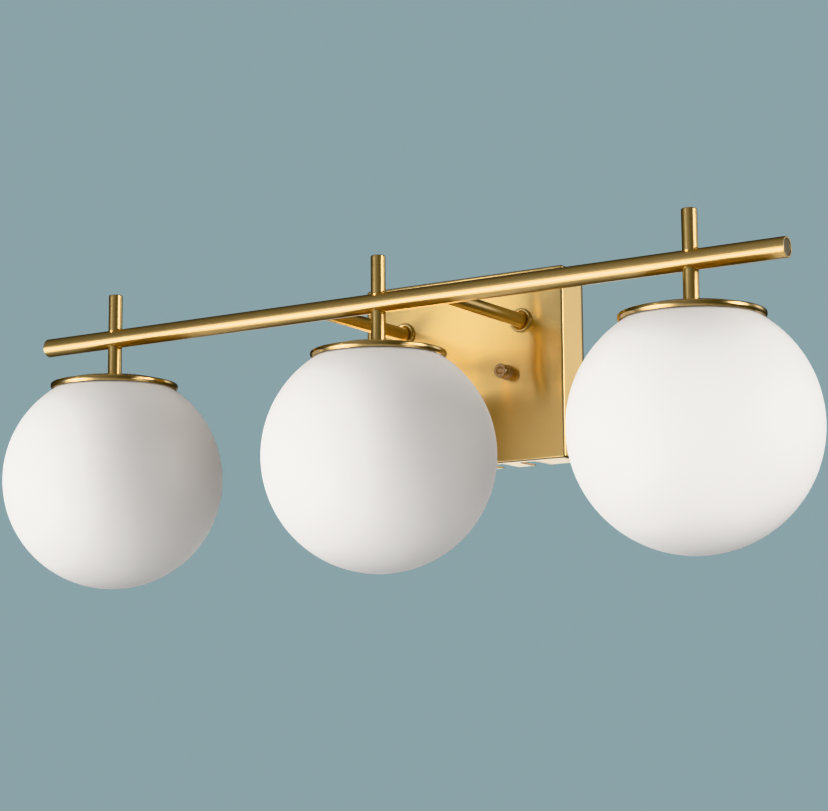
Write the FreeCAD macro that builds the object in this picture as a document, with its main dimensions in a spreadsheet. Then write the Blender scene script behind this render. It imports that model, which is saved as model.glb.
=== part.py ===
import FreeCAD, Part
import math
import os
import re
import Sketcher

# Vanity light bar: a canopy pan on a wall crossbar, two arms, one horizontal
# bar, and three screw-on glass globes under round shade caps.
# Frame: origin at the middle of the canopy's open back (the wall plane),
# +X along the bar, -Y out into the room, +Z up. Millimetres.

doc = FreeCAD.newDocument("vanity_light_bar")

# ---------------------------------------------------------------- sizes

DIMENSIONS = {
    # canopy pan and what is cut in it
    "canopy_width": 156.0,
    "canopy_height": 129.0,
    "canopy_depth": 28.5,
    "canopy_sheet": 1.0,
    "canopy_bend": 1.6,
    "vent_inner": 21.0,        # middle of the inner pair of bottom vents, from the centre
    "vent_outer": 45.8,        # middle of the outer pair
    "vent_width": 11.2,
    "vent_strip": 7.0,         # wall left between the face and a vent
    # wall crossbar, its box slots, and the studs for the finial nuts
    "crossbar_length": 112.0,
    "crossbar_width": 20.0,
    "crossbar_sheet": 2.0,
    "slot_spacing": 88.9,
    "slot_width": 4.8,
    "slot_length": 10.0,
    "stud_spacing": 69.85,
    "stud_drop": 4.0,          # studs below the middle of the canopy
    "stud_size": 4.1,
    "stud_reach": 7.0,         # stud beyond the canopy face
    "hex_across": 8.7,
    "hex_height": 3.0,
    "finial_size": 9.4,
    "finial_length": 8.4,
    "finial_step": 0.7,        # depth of the turned grooves
    "finial_foot": 1.1,        # straight part at the washer
    "finial_groove": 0.9,      # floor of each groove
    "finial_bead": 0.9,        # flat of the bead between the grooves
    "finial_slope": 0.3,       # length of each groove's side
    "finial_edge": 0.6,        # chamfer of the head
    "finial_bore": 4.3,
    "washer_size": 10.2,
    "washer_sheet": 0.8,
    "face_gap": 0.15,          # running gap under a finial washer and its nut
    # arms between the canopy and the bar
    "arm_spacing": 93.0,
    "arm_size": 9.5,
    "tube_wall": 0.75,         # wall of arms and stems
    "collar_size": 16.5,
    "collar_height": 2.0,
    "nipple_wall": 0.95,
    "nipple_grip": 10.0,       # length of a nipple inside its tube
    "nut_across": 13.0,
    "nut_height": 3.5,
    "lock_washer_size": 14.0,
    "lock_washer_sheet": 1.0,
    "thread_end": 2.0,         # nipple beyond its nut
    # the bar
    "bar_reach": 131.0,        # bar axis out from the wall
    "bar_rise": 30.0,          # bar axis above the middle of the canopy
    "bar_size": 12.7,
    "bar_wall": 1.0,
    "bar_length": 562.0,
    "plug_length": 9.0,
    "plug_crown": 0.5,
    "wire_port": 7.4,          # holes in the bar for the lead wires
    # stems and shade caps
    "stem_spacing": 220.0,
    "stem_size": 9.5,
    "stub_height": 31.0,       # top of an upper stub above the bar axis
    "stub_round": 0.6,
    "stem_drop": 28.9,         # top of a shade cap below the bar axis
    "cap_clear": 1.7,          # rim clear of the glass all round
    "cap_lip": 0.5,            # flat middle beyond the fitter
    "cap_crown": 2.6,          # flat middle above the rim's top edge
    "cap_rim": 4.2,
    "cap_sheet": 1.0,
    # globe and the collar that screws onto the fitter
    "globe_size": 150.0,
    "glass_wall": 3.0,
    "mouth_bore": 59.8,
    "mouth_gap": 1.5,          # glass mouth below the rim's top edge
    "bond_gap": 0.4,           # bond between the glass mouth and its collar
    "collar_wall": 1.5,
    "collar_skirt": 13.0,
    "collar_sheet": 0.8,
    "flange_inset": 1.5,       # collar flange inside the glass's edge
    "gasket_height": 1.0,
    "gasket_inset": 2.0,       # gasket inside the collar flange
    "slip": 0.3,               # clearance between parts that come apart
    "fitter_skirt": 14.0,
    "fitter_sheet": 1.0,
    # lampholder, its contacts and the lamp
    "holder_size": 38.0,
    "holder_height": 40.0,
    "holder_cavity": 28.2,
    "chamber_size": 30.0,
    "chamber_height": 9.0,
    "holder_top": 3.0,         # thickness of the top wall
    "holder_web": 2.6,         # wall between the wiring chamber and the cavity
    "shell_bore": 26.6,
    "shell_sheet": 0.5,
    "shell_depth": 24.0,
    "hot_port": 6.5,           # wire hole to the middle contact, from the axis
    "neutral_port": 10.8,      # wire hole to the screw shell, from the axis
    "lamp_thread": 26.0,
    "lamp_base": 22.0,
    "lamp_tip": 2.5,
    "lamp_bulb": 48.0,
    "lamp_length": 86.0,
    "lamp_glass": 1.0,
    # lead wires and their connectors
    "wire_size": 2.0,
    "wire_pitch": 2.2,
    "bar_bend": 10.0,
    "stem_bend": 8.0,
    "box_bend": 8.0,
    "holder_bend": 3.0,
    "hot_plane": 7.0,          # hot leads run this far in front of the wall
    "neutral_plane": 12.0,
    "connector_offset": 16.0,
    "connector_mouth": 22.0,   # mouth of a connector below the canopy's middle
    "connector_length": 22.0,
    "connector_size": 11.6,
    "connector_bore": 7.4,
    "wire_entry": 6.0,         # lead inside its connector
    "ground_offset": 22.0,
    "ground_post": 22.0,
    "ground_screw": 8.6,
}

sheet = doc.addObject("Spreadsheet::Sheet", "Sizes")
for row, (alias, number) in enumerate(DIMENSIONS.items(), start=1):
    sheet.set("A%d" % row, alias)
    sheet.set("B%d" % row, str(number))
    sheet.setAlias("B%d" % row, alias)
doc.recompute()

# Places that several pieces share, as formulas on the sheet's names.
LAMP_Y = "0 - bar_reach"
BAR_RADIUS = "bar_size / 2"
CAP_TOP = "(bar_rise - stem_drop)"
CAP_UNDER = "(bar_rise - stem_drop - cap_sheet)"
RIM_TOP = "(bar_rise - stem_drop - cap_crown)"
MOUTH = "(bar_rise - stem_drop - cap_crown - mouth_gap)"
GLOBE_INNER = "(globe_size / 2 - glass_wall)"
MOUTH_RISE = "sqrt(%s ^ 2 - (mouth_bore / 2) ^ 2)" % GLOBE_INNER
MOUTH_OUTER = "sqrt((globe_size / 2) ^ 2 - %s ^ 2)" % MOUTH_RISE
GLOBE_CENTRE = "(%s - %s)" % (MOUTH, MOUTH_RISE)
COLLAR_RADIUS = "(mouth_bore / 2 - bond_gap - collar_wall)"
FITTER_RADIUS = "(mouth_bore / 2 - bond_gap - collar_wall - slip)"
FLANGE_RADIUS = "(%s - flange_inset)" % MOUTH_OUTER
GLASS_AT_RIM = "sqrt((globe_size / 2) ^ 2 - (%s - cap_rim + mouth_gap) ^ 2)" % MOUTH_RISE
CAP_RADIUS = "(%s + cap_clear + cap_sheet)" % GLASS_AT_RIM
NUT_TOP = "(%s - fitter_sheet)" % CAP_UNDER
HOLDER_TOP = "(%s - fitter_sheet - nut_height - slip)" % CAP_UNDER
CHAMBER_TOP = "(%s - holder_top)" % HOLDER_TOP
WEB_TOP = "(%s - holder_top - chamber_height)" % HOLDER_TOP
CAVITY_TOP = "(%s - holder_top - chamber_height - holder_web)" % HOLDER_TOP
LAMP_TIP_Z = "(%s - shell_sheet - slip)" % CAVITY_TOP
NIPPLE_SIZE = "(stem_size - 2 * tube_wall - 0.1)"
NIPPLE_BORE = "(stem_size - 2 * tube_wall - 0.1 - 2 * nipple_wall)"
FACE = "(0 - canopy_depth)"
FACE_INNER = "(canopy_sheet - canopy_depth)"
ARM_NIPPLE_SIZE = "(arm_size - 2 * tube_wall - 0.1)"
ARM_NIPPLE_BORE = "(arm_size - 2 * tube_wall - 0.1 - 2 * nipple_wall)"
ARM_NIPPLE_END = "(canopy_depth - canopy_sheet - lock_washer_sheet - nut_height - thread_end)"
LAMPS = (("left", -1), ("centre", 0), ("right", 1))
SIDES = (("left", -1), ("right", 1))
JOINT_GAP = 0.05               # brazed, soldered or threaded fit between fixed pieces

ALONG_X = FreeCAD.Rotation(FreeCAD.Vector(0, 0, 1), FreeCAD.Vector(1, 0, 0))
TO_ROOM = FreeCAD.Rotation(FreeCAD.Vector(0, 0, 1), FreeCAD.Vector(0, -1, 0))
TO_WALL = FreeCAD.Rotation(FreeCAD.Vector(0, 0, 1), FreeCAD.Vector(0, 1, 0))
HALF_TURN = FreeCAD.Rotation(FreeCAD.Vector(0, 0, 1), 180)

nodes = []


# -------------------------------------------------------------- helpers

def link(formula):
    """Put the sheet's name before each size in a formula."""
    def name(match):
        word = match.group(0)
        return "Sizes." + word if word in DIMENSIONS else word
    return re.sub(r"[a-z_]+", name, str(formula))


def value(formula):
    """Work out a formula on the sheet's sizes."""
    result = sheet.evalExpression(link(formula))
    return float(getattr(result, "Value", result))


def bind(thing, **formulas):
    """Bind properties of an object to formulas on the sheet."""
    for name, formula in formulas.items():
        thing.setExpression(name, link(formula))
    return thing


def place(thing, x=0, y=0, z=0, turn=None):
    """Turn an object and bind where it stands."""
    if turn is not None:
        thing.Placement = FreeCAD.Placement(FreeCAD.Vector(), turn)
    for axis, formula in (("x", x), ("y", y), ("z", z)):
        thing.setExpression("Placement.Base." + axis, link(formula))
    return thing


def keep(thing, label):
    """Name an object as one of the nodes that are written out."""
    thing.Label = label
    nodes.append(thing)
    return thing


def cylinder(name, radius, height, x=0, y=0, z=0, turn=None):
    """A cylinder from its base point along its own Z."""
    solid = doc.addObject("Part::Cylinder", name)
    bind(solid, Radius=radius, Height=height)
    return place(solid, x, y, z, turn)


def cut(name, base, *tools):
    """The base less every tool, one after another."""
    for number, tool in enumerate(tools):
        step = doc.addObject("Part::Cut", "%s_cut%d" % (name, number))
        step.Base = base
        step.Tool = tool
        base = step
    return base


def tube(name, outer, inner, height, x=0, y=0, z=0, turn=None):
    """A round tube from its base point along its own Z."""
    outside = cylinder(name + "_outside", outer, height)
    inside = cylinder(name + "_inside", inner, height)
    return place(cut(name, outside, inside), x, y, z, turn)


def group(name, members):
    """Identical pieces as separate solids of one node."""
    together = doc.addObject("Part::Compound", name)
    together.Links = members
    return together


def hexagon(name, across, height, bore, x=0, y=0, z=0, turn=None):
    """A hexagon nut with a plain bore, from its base along its own Z."""
    outside = doc.addObject("Part::Prism", name + "_hexagon")
    outside.Polygon = 6
    bind(outside, Circumradius="(%s) / sqrt(3)" % across, Height=height)
    inside = cylinder(name + "_bore", bore, height)
    return place(cut(name, outside, inside), x, y, z, turn)


def origin_plane(body, role):
    """One of a body's own origin planes, found by its role."""
    for feature in body.Origin.OriginFeatures:
        if feature.Role == role:
            return feature
    raise RuntimeError("no plane " + role)


def outline(body, name, corners, role="XZ_Plane"):
    """A closed sketch of straight sides, each corner bound to two formulas.

    A corner may hold a third entry, "arc" with the two formulas of a point
    midway, which makes the side that starts there an arc about the origin.
    """
    sketch = body.newObject("Sketcher::SketchObject", name)
    sketch.AttachmentSupport = [(origin_plane(body, role), "")]
    sketch.MapMode = "FlatFace"
    points = [FreeCAD.Vector(value(c[0]), value(c[1]), 0) for c in corners]
    count = len(points)
    for index, corner in enumerate(corners):
        start = points[index]
        end = points[(index + 1) % count]
        if len(corner) > 2:
            angles = sorted((math.atan2(start.y, start.x), math.atan2(end.y, end.x)))
            circle = Part.Circle(FreeCAD.Vector(), FreeCAD.Vector(0, 0, 1), start.Length)
            sketch.addGeometry(Part.ArcOfCircle(circle, angles[0], angles[1]), False)
        else:
            sketch.addGeometry(Part.LineSegment(start, end), False)

    def end_of(index, wanted):
        """Which end of a side lies at a point."""
        side = sketch.Geometry[index]
        return 1 if side.StartPoint.distanceToPoint(wanted) < 1e-6 else 2

    for index in range(count):
        after = (index + 1) % count
        joint = points[after]
        sketch.addConstraint(Sketcher.Constraint(
            "Coincident", index, end_of(index, joint), after, end_of(after, joint)))
    for index, corner in enumerate(corners):
        vertex = end_of(index, points[index])
        if len(corner) > 2:
            sketch.addConstraint(Sketcher.Constraint("Coincident", index, 3, -1, 1))
        for kind, formula in (("DistanceX", corner[0]), ("DistanceY", corner[1])):
            if kind == "DistanceY" and len(corners[index - 1]) > 2:
                continue
            number = sketch.addConstraint(Sketcher.Constraint(
                kind, -1, 1, index, vertex, value(formula)))
            sketch.setExpression("Constraints[%d]" % number, link(formula))
    return sketch


def turned(label, corners, x=0, y=0, z=0, turn=None):
    """A piece turned about its own Z from an outline of (radius, height)."""
    body = doc.addObject("PartDesign::Body", label)
    sketch = outline(body, label + "_outline", corners)
    doc.recompute()
    spin = body.newObject("PartDesign::Revolution", label + "_turned")
    spin.Profile = sketch
    spin.ReferenceAxis = (sketch, ["V_Axis"])
    spin.Angle = 360.0
    place(body, x, y, z, turn)
    return body


# --------------------------------------------------------------- canopy

def canopy_pan():
    """The pan: a folded box open at the wall, with ports and bottom vents."""
    body = doc.addObject("PartDesign::Body", "canopy_pan")
    sketch = body.newObject("Sketcher::SketchObject", "canopy_outline")
    sketch.AttachmentSupport = [(origin_plane(body, "XZ_Plane"), "")]
    sketch.MapMode = "FlatFace"
    half_w = value("canopy_width / 2")
    half_h = value("canopy_height / 2")
    rectangle(sketch, half_w, half_h, "canopy_width", "canopy_height")
    pad = body.newObject("PartDesign::Pad", "canopy_block")
    pad.Profile = sketch
    bind(pad, Length="canopy_depth")
    doc.recompute()
    fold = body.newObject("PartDesign::Fillet", "canopy_folds")
    front = min(vertex.Point.y for vertex in pad.Shape.Vertexes)
    edges = ["Edge%d" % (n + 1) for n, edge in enumerate(pad.Shape.Edges)
             if edge.CenterOfMass.y < front + value("canopy_depth") * 0.9]
    fold.Base = (pad, edges)
    bind(fold, Radius="canopy_bend")
    doc.recompute()
    hollow = body.newObject("Sketcher::SketchObject", "canopy_hollow_outline")
    hollow.AttachmentSupport = [(origin_plane(body, "XZ_Plane"), "")]
    hollow.MapMode = "FlatFace"
    rectangle(hollow, half_w - value("canopy_sheet"), half_h - value("canopy_sheet"),
              "canopy_width - 2 * canopy_sheet", "canopy_height - 2 * canopy_sheet")
    inside = body.newObject("PartDesign::Pocket", "canopy_hollow")
    inside.Profile = hollow
    inside.Type = 0
    inside.Reversed = True
    bind(inside, Length="canopy_depth - canopy_sheet")
    doc.recompute()
    if removed(inside) < 1:
        raise RuntimeError("the canopy stays solid")
    inner = body.newObject("PartDesign::Fillet", "canopy_inner_folds")
    edges = []
    for number, edge in enumerate(inside.Shape.Edges, start=1):
        middle = edge.CenterOfMass
        at_side = abs(abs(middle.x) - half_w + value("canopy_sheet")) < 1e-3
        at_end = abs(abs(middle.z) - half_h + value("canopy_sheet")) < 1e-3
        at_face = abs(middle.y - value(FACE_INNER)) < 1e-3
        if at_side + at_end + at_face == 2:
            edges.append("Edge%d" % number)
    inner.Base = (inside, edges)
    bind(inner, Radius="canopy_bend - canopy_sheet")
    doc.recompute()
    ports = body.newObject("Sketcher::SketchObject", "canopy_ports")
    ports.AttachmentSupport = [(origin_plane(body, "XZ_Plane"), "")]
    ports.MapMode = "FlatFace"
    for _, side in SIDES:
        round_hole(ports, "%d * arm_spacing / 2" % side, "bar_rise", NIPPLE_SIZE + " / 2 + 0.2")
        round_hole(ports, "%d * stud_spacing / 2" % side, "0 - stud_drop", "stud_size / 2 + 0.25")
    through(body, ports, "canopy_port_cut", "canopy_depth + 5")
    vents = body.newObject("Sketcher::SketchObject", "canopy_vents")
    vents.AttachmentSupport = [(origin_plane(body, "XY_Plane"), "")]
    vents.MapMode = "FlatFace"
    for offset in ("vent_inner", "vent_outer"):
        for side in (-1, 1):
            notch(vents, "%d * %s" % (side, offset))
    pocket = body.newObject("PartDesign::Pocket", "canopy_vent_cut")
    pocket.Profile = vents
    pocket.Type = 0
    bind(pocket, Length="canopy_height")
    doc.recompute()
    if removed(pocket) < 1:
        raise RuntimeError("the vents cut nothing")
    return keep(body, "canopy_pan")


def removed(feature):
    """Volume that a cutting feature took from what was there before it."""
    return feature.BaseFeature.Shape.Volume - feature.Shape.Volume


def rectangle(sketch, half_w, half_h, width, height):
    """A rectangle centred on the sketch's origin."""
    corners = [(-half_w, -half_h), (half_w, -half_h), (half_w, half_h), (-half_w, half_h)]
    points = [FreeCAD.Vector(a, b, 0) for a, b in corners]
    for index in range(4):
        sketch.addGeometry(Part.LineSegment(points[index], points[(index + 1) % 4]), False)
    for index in range(4):
        sketch.addConstraint(Sketcher.Constraint("Coincident", index, 2, (index + 1) % 4, 1))
    for index, kind in ((0, "Horizontal"), (1, "Vertical"), (2, "Horizontal"), (3, "Vertical")):
        sketch.addConstraint(Sketcher.Constraint(kind, index))
    sketch.addConstraint(Sketcher.Constraint("Symmetric", 0, 1, 1, 2, -1, 1))
    number = sketch.addConstraint(Sketcher.Constraint("DistanceX", 0, 1, 0, 2, 2 * half_w))
    sketch.setExpression("Constraints[%d]" % number, link(width))
    number = sketch.addConstraint(Sketcher.Constraint("DistanceY", 1, 1, 1, 2, 2 * half_h))
    sketch.setExpression("Constraints[%d]" % number, link(height))


def round_hole(sketch, across, up, radius):
    """A circle whose middle and radius are bound to the sheet."""
    centre = FreeCAD.Vector(value(across), value(up), 0)
    circle = Part.Circle(centre, FreeCAD.Vector(0, 0, 1), value(radius))
    geo = sketch.addGeometry(circle, False)
    for kind, formula in (("DistanceX", across), ("DistanceY", up)):
        number = sketch.addConstraint(Sketcher.Constraint(kind, -1, 1, geo, 3, value(formula)))
        sketch.setExpression("Constraints[%d]" % number, link(formula))
    number = sketch.addConstraint(Sketcher.Constraint("Radius", geo, value(radius)))
    sketch.setExpression("Constraints[%d]" % number, link(radius))


def box_in_sketch(sketch, low_a, low_b, high_a, high_b):
    """A rectangle whose four edges are bound to the sheet."""
    names = ((low_a, low_b), (high_a, low_b), (high_a, high_b), (low_a, high_b))
    first = sketch.GeometryCount
    points = [FreeCAD.Vector(value(a), value(b), 0) for a, b in names]
    for index in range(4):
        sketch.addGeometry(Part.LineSegment(points[index], points[(index + 1) % 4]), False)
    for index in range(4):
        sketch.addConstraint(Sketcher.Constraint(
            "Coincident", first + index, 2, first + (index + 1) % 4, 1))
    for index, kind in ((0, "Horizontal"), (1, "Vertical"), (2, "Horizontal"), (3, "Vertical")):
        sketch.addConstraint(Sketcher.Constraint(kind, first + index))
    for index in (0, 2):
        for kind, formula in (("DistanceX", names[index][0]), ("DistanceY", names[index][1])):
            number = sketch.addConstraint(Sketcher.Constraint(
                kind, -1, 1, first + index, 1, value(formula)))
            sketch.setExpression("Constraints[%d]" % number, link(formula))


def notch(sketch, middle):
    """A vent in the bottom wall, open at the wall edge."""
    box_in_sketch(sketch, "%s - vent_width / 2" % middle, "vent_strip - canopy_depth",
                  "%s + vent_width / 2" % middle, "2")


def through(body, sketch, name, length):
    """Cut a sketch both ways out of a body."""
    pocket = body.newObject("PartDesign::Pocket", name)
    pocket.Profile = sketch
    pocket.Type = 0
    pocket.Midplane = True
    bind(pocket, Length="2 * (%s)" % length)
    doc.recompute()
    if removed(pocket) < 1:
        raise RuntimeError(name + " cuts nothing")
    return pocket


def crossbar():
    """The wall crossbar: two box slots and two tapped stud holes."""
    body = doc.addObject("PartDesign::Body", "mounting_crossbar")
    sketch = body.newObject("Sketcher::SketchObject", "crossbar_outline")
    sketch.AttachmentSupport = [(origin_plane(body, "XZ_Plane"), "")]
    sketch.MapMode = "FlatFace"
    rectangle(sketch, value("crossbar_length / 2"), value("crossbar_width / 2"),
              "crossbar_length", "crossbar_width")
    pad = body.newObject("PartDesign::Pad", "crossbar_strip")
    pad.Profile = sketch
    bind(pad, Length="crossbar_sheet")
    doc.recompute()
    holes = body.newObject("Sketcher::SketchObject", "crossbar_holes")
    holes.AttachmentSupport = [(origin_plane(body, "XZ_Plane"), "")]
    holes.MapMode = "FlatFace"
    for _, side in SIDES:
        round_hole(holes, "%d * stud_spacing / 2" % side, "0",
                   "stud_size / 2 + %s" % JOINT_GAP)
    through(body, holes, "crossbar_taps", "crossbar_sheet")
    slots = body.newObject("Sketcher::SketchObject", "crossbar_slots")
    slots.AttachmentSupport = [(origin_plane(body, "XZ_Plane"), "")]
    slots.MapMode = "FlatFace"
    for _, side in SIDES:
        slot(slots, "%d * slot_spacing / 2" % side)
    through(body, slots, "crossbar_slot_cut", "crossbar_sheet")
    place(body, 0, 0, "0 - stud_drop")
    return keep(body, "mounting_crossbar")


def slot(sketch, middle):
    """A straight slot with round ends, lying along the sketch's X."""
    first = sketch.GeometryCount
    half = value("(slot_length - slot_width) / 2")
    radius = value("slot_width / 2")
    centre = value(middle)
    up = FreeCAD.Vector(0, 0, 1)
    left = FreeCAD.Vector(centre - half, 0, 0)
    right = FreeCAD.Vector(centre + half, 0, 0)
    rise = FreeCAD.Vector(0, radius, 0)
    quarter = math.pi / 2
    sketch.addGeometry(Part.ArcOfCircle(Part.Circle(left, up, radius), quarter, 3 * quarter), False)
    sketch.addGeometry(Part.LineSegment(left - rise, right - rise), False)
    sketch.addGeometry(Part.ArcOfCircle(Part.Circle(right, up, radius), -quarter, quarter), False)
    sketch.addGeometry(Part.LineSegment(right + rise, left + rise), False)
    joints = ((0, 2, 1, 1), (1, 2, 2, 1), (2, 2, 3, 1), (3, 2, 0, 1))
    for one, end_one, two, end_two in joints:
        sketch.addConstraint(Sketcher.Constraint(
            "Tangent", first + one, end_one, first + two, end_two))
    sketch.addConstraint(Sketcher.Constraint("Horizontal", first + 1))
    sketch.addConstraint(Sketcher.Constraint("PointOnObject", first, 3, -1))
    bound = (
        ("Radius", (first,), "slot_width / 2"),
        ("DistanceX", (-1, 1, first, 3), "%s - (slot_length - slot_width) / 2" % middle),
        ("DistanceX", (-1, 1, first + 2, 3), "%s + (slot_length - slot_width) / 2" % middle),
    )
    for kind, where, formula in bound:
        number = sketch.addConstraint(Sketcher.Constraint(kind, *where, value(formula)))
        sketch.setExpression("Constraints[%d]" % number, link(formula))


def studs_and_nuts():
    """Threaded studs in the crossbar and the hexagon nuts that lock them."""
    studs = []
    nuts = []
    for side_name, side in SIDES:
        across = "%d * stud_spacing / 2" % side
        studs.append(cylinder("stud_" + side_name, "stud_size / 2", "canopy_depth + stud_reach",
                              across, 0, "0 - stud_drop", TO_ROOM))
        nuts.append(hexagon("stud_nut_" + side_name, "hex_across", "hex_height",
                            "stud_size / 2 + %s" % JOINT_GAP,
                            across, "0 - crossbar_sheet", "0 - stud_drop", TO_ROOM))
    keep(group("mounting_studs", studs), "mounting_studs")
    keep(group("stud_lock_nuts", nuts), "stud_lock_nuts")


def finials():
    """Turned finial nuts that clamp the canopy, each over its washer."""
    bore = "finial_bore / 2"
    size = "finial_size / 2"
    groove = "finial_size / 2 - finial_step"
    top = "finial_length"
    deep = "stud_reach - washer_sheet - 2 * face_gap + slip"
    first = "finial_foot + finial_slope"
    bead = "finial_foot + 2 * finial_slope + finial_groove"
    second = bead + " + finial_bead + finial_slope"
    head = second + " + finial_groove + finial_slope"
    corners = (
        (bore, "0"), (size, "0"), (size, "finial_foot"),
        (groove, first), (groove, first + " + finial_groove"),
        (size, bead), (size, bead + " + finial_bead"),
        (groove, second), (groove, second + " + finial_groove"),
        (size, head), (size, top + " - finial_edge"), (size + " - finial_edge", top),
        ("finial_size / 4", top), ("0", top + " - finial_edge / 2"), ("0", deep), (bore, deep))
    for side_name, side in SIDES:
        across = "%d * stud_spacing / 2" % side
        washer = tube("finial_washer_" + side_name, "washer_size / 2", bore, "washer_sheet",
                      across, FACE + " - face_gap", "0 - stud_drop", TO_ROOM)
        keep(washer, "finial_washer_" + side_name)
        nut = turned("finial_nut_" + side_name, corners, across,
                     FACE + " - washer_sheet - 2 * face_gap", "0 - stud_drop", TO_ROOM)
        keep(nut, "finial_nut_" + side_name)


def ground():
    """Earth screw on the crossbar, its post on the pan, and the lead between."""
    screw = hexagon_solid("ground_screw_head", "ground_screw", "hex_height",
                          "0 - ground_offset", "0 - crossbar_sheet", "0 - stud_drop", TO_ROOM)
    post = cylinder("ground_pan_post", "ground_screw / 2", "hex_height",
                    "0 - ground_offset", FACE_INNER, "ground_post", TO_WALL)
    keep(group("ground_terminals", [screw, post]), "ground_terminals")
    across = -value("ground_offset")
    radius = value("wire_size / 2")
    near = -value("crossbar_sheet") - radius - JOINT_GAP
    start = value("ground_screw / 2 - stud_drop + 0.7")
    rise = value("ground_post")
    far = value(FACE_INNER + " + hex_height") + 0.2
    lead = wire("ground_lead", [
        FreeCAD.Vector(across, near, start),
        FreeCAD.Vector(across, near, rise),
        FreeCAD.Vector(across, far, rise)], value("box_bend"))
    keep(lead, "ground_lead")


def hexagon_solid(name, across, height, x, y, z, turn):
    """A plain hexagon head."""
    head = doc.addObject("Part::Prism", name)
    head.Polygon = 6
    bind(head, Circumradius="(%s) / sqrt(3)" % across, Height=height)
    return place(head, x, y, z, turn)


# ----------------------------------------------------------- arms and bar

def arms():
    """Two tube arms with their collars, nipples, washers and lock nuts."""
    nipples = []
    washers = []
    nuts = []
    gap = "%s" % JOINT_GAP
    for side_name, side in SIDES:
        across = "%d * arm_spacing / 2" % side
        seat = FACE + " - collar_height"
        length = "bar_reach - canopy_depth - collar_height"
        solid = tube("arm_blank_" + side_name, "arm_size / 2", "arm_size / 2 - tube_wall",
                     length, across, seat, "bar_rise", TO_ROOM)
        cope = cylinder("arm_cope_" + side_name, "bar_size / 2 + " + gap, "4 * arm_size",
                        "%s - 2 * arm_size" % across, LAMP_Y, "bar_rise", ALONG_X)
        keep(cut("arm_" + side_name, solid, cope), "arm_" + side_name)
        collar = turned("arm_collar_" + side_name, (
            (ARM_NIPPLE_SIZE + " / 2 + 0.2", "0"), ("collar_size / 2", "0"),
            ("collar_size / 2", "collar_height * 0.55"),
            ("collar_size / 2 - 0.7", "collar_height"),
            ("collar_size / 2 - 1.6", "collar_height"),
            ("arm_size / 2 + 0.4", "collar_height * 0.6"),
            ("arm_size / 2 + 0.1", "collar_height * 0.6"),
            ("arm_size / 2 + 0.1", "collar_height"),
            (ARM_NIPPLE_SIZE + " / 2 + 0.2", "collar_height")),
            across, FACE, "bar_rise", TO_ROOM)
        keep(collar, "arm_collar_" + side_name)
        washers.append(tube("arm_washer_" + side_name, "lock_washer_size / 2",
                            ARM_NIPPLE_SIZE + " / 2 + 0.2", "lock_washer_sheet",
                            across, FACE_INNER, "bar_rise", TO_WALL))
        nuts.append(hexagon("arm_nut_" + side_name, "nut_across", "nut_height",
                            ARM_NIPPLE_SIZE + " / 2 + " + gap,
                            across, FACE_INNER + " + lock_washer_sheet", "bar_rise", TO_WALL))
        nipples.append(tube("arm_nipple_" + side_name, ARM_NIPPLE_SIZE + " / 2",
                            ARM_NIPPLE_BORE + " / 2",
                            "nipple_grip + collar_height + canopy_sheet"
                            " + lock_washer_sheet + nut_height + thread_end",
                            across, FACE + " - collar_height - nipple_grip",
                            "bar_rise", TO_WALL))
    keep(group("arm_nipples", nipples), "arm_nipples")
    keep(group("arm_lock_washers", washers), "arm_lock_washers")
    keep(group("arm_lock_nuts", nuts), "arm_lock_nuts")


def bar():
    """The long tube with its wire ports, and a plug in each end."""
    blank = tube("bar_blank", BAR_RADIUS, "bar_size / 2 - bar_wall", "bar_length",
                 "0 - bar_length / 2", LAMP_Y, "bar_rise", ALONG_X)
    ports = []
    for side_name, side in SIDES:
        ports.append(cylinder("bar_arm_port_" + side_name, "wire_port / 2", "bar_size / 2 + 1",
                              "%d * arm_spacing / 2" % side, LAMP_Y, "bar_rise", TO_WALL))
    for lamp_name, lamp in LAMPS:
        ports.append(cylinder("bar_stem_port_" + lamp_name, "wire_port / 2", "bar_size / 2 + 1",
                              "%d * stem_spacing" % lamp, LAMP_Y,
                              "bar_rise - bar_size / 2 - 1"))
    keep(cut("main_bar", blank, *ports), "main_bar")
    plugs = []
    plug = "bar_size / 2 - bar_wall - %s" % JOINT_GAP
    corners = (("0", "0"), (plug, "0"), (plug, "plug_length - plug_crown"),
               (plug + " - plug_crown", "plug_length"), ("0", "plug_length"))
    for side_name, side in SIDES:
        aim = FreeCAD.Rotation(FreeCAD.Vector(0, 0, 1), FreeCAD.Vector(side, 0, 0))
        plugs.append(turned("bar_plug_" + side_name, corners,
                            "%d * (bar_length / 2 - plug_length)" % side,
                            LAMP_Y, "bar_rise", aim))
    keep(group("bar_end_plugs", plugs), "bar_end_plugs")


# ------------------------------------------------------------------ lamps

def stems(name, across):
    """The solid stub above the bar and the tube below it, coped to the bar."""
    radius = "stem_size / 2"
    stub = turned("stub_blank_" + name, (
        ("0", "0"), (radius, "0"), (radius, "stub_height - stub_round"),
        (radius + " - stub_round", "stub_height"), ("0", "stub_height")),
        across, LAMP_Y, "bar_rise")
    for part, solid in (
            ("upper_stub_", stub),
            ("lower_stem_", tube("stem_blank_" + name, radius, radius + " - tube_wall",
                                 "stem_drop", across, LAMP_Y, CAP_TOP))):
        cope = cylinder(part + "cope_" + name, "bar_size / 2 + %s" % JOINT_GAP, "4 * stem_size",
                        "%s - 2 * stem_size" % across, LAMP_Y, "bar_rise", ALONG_X)
        keep(cut(part + name, solid, cope), part + name)


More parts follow.
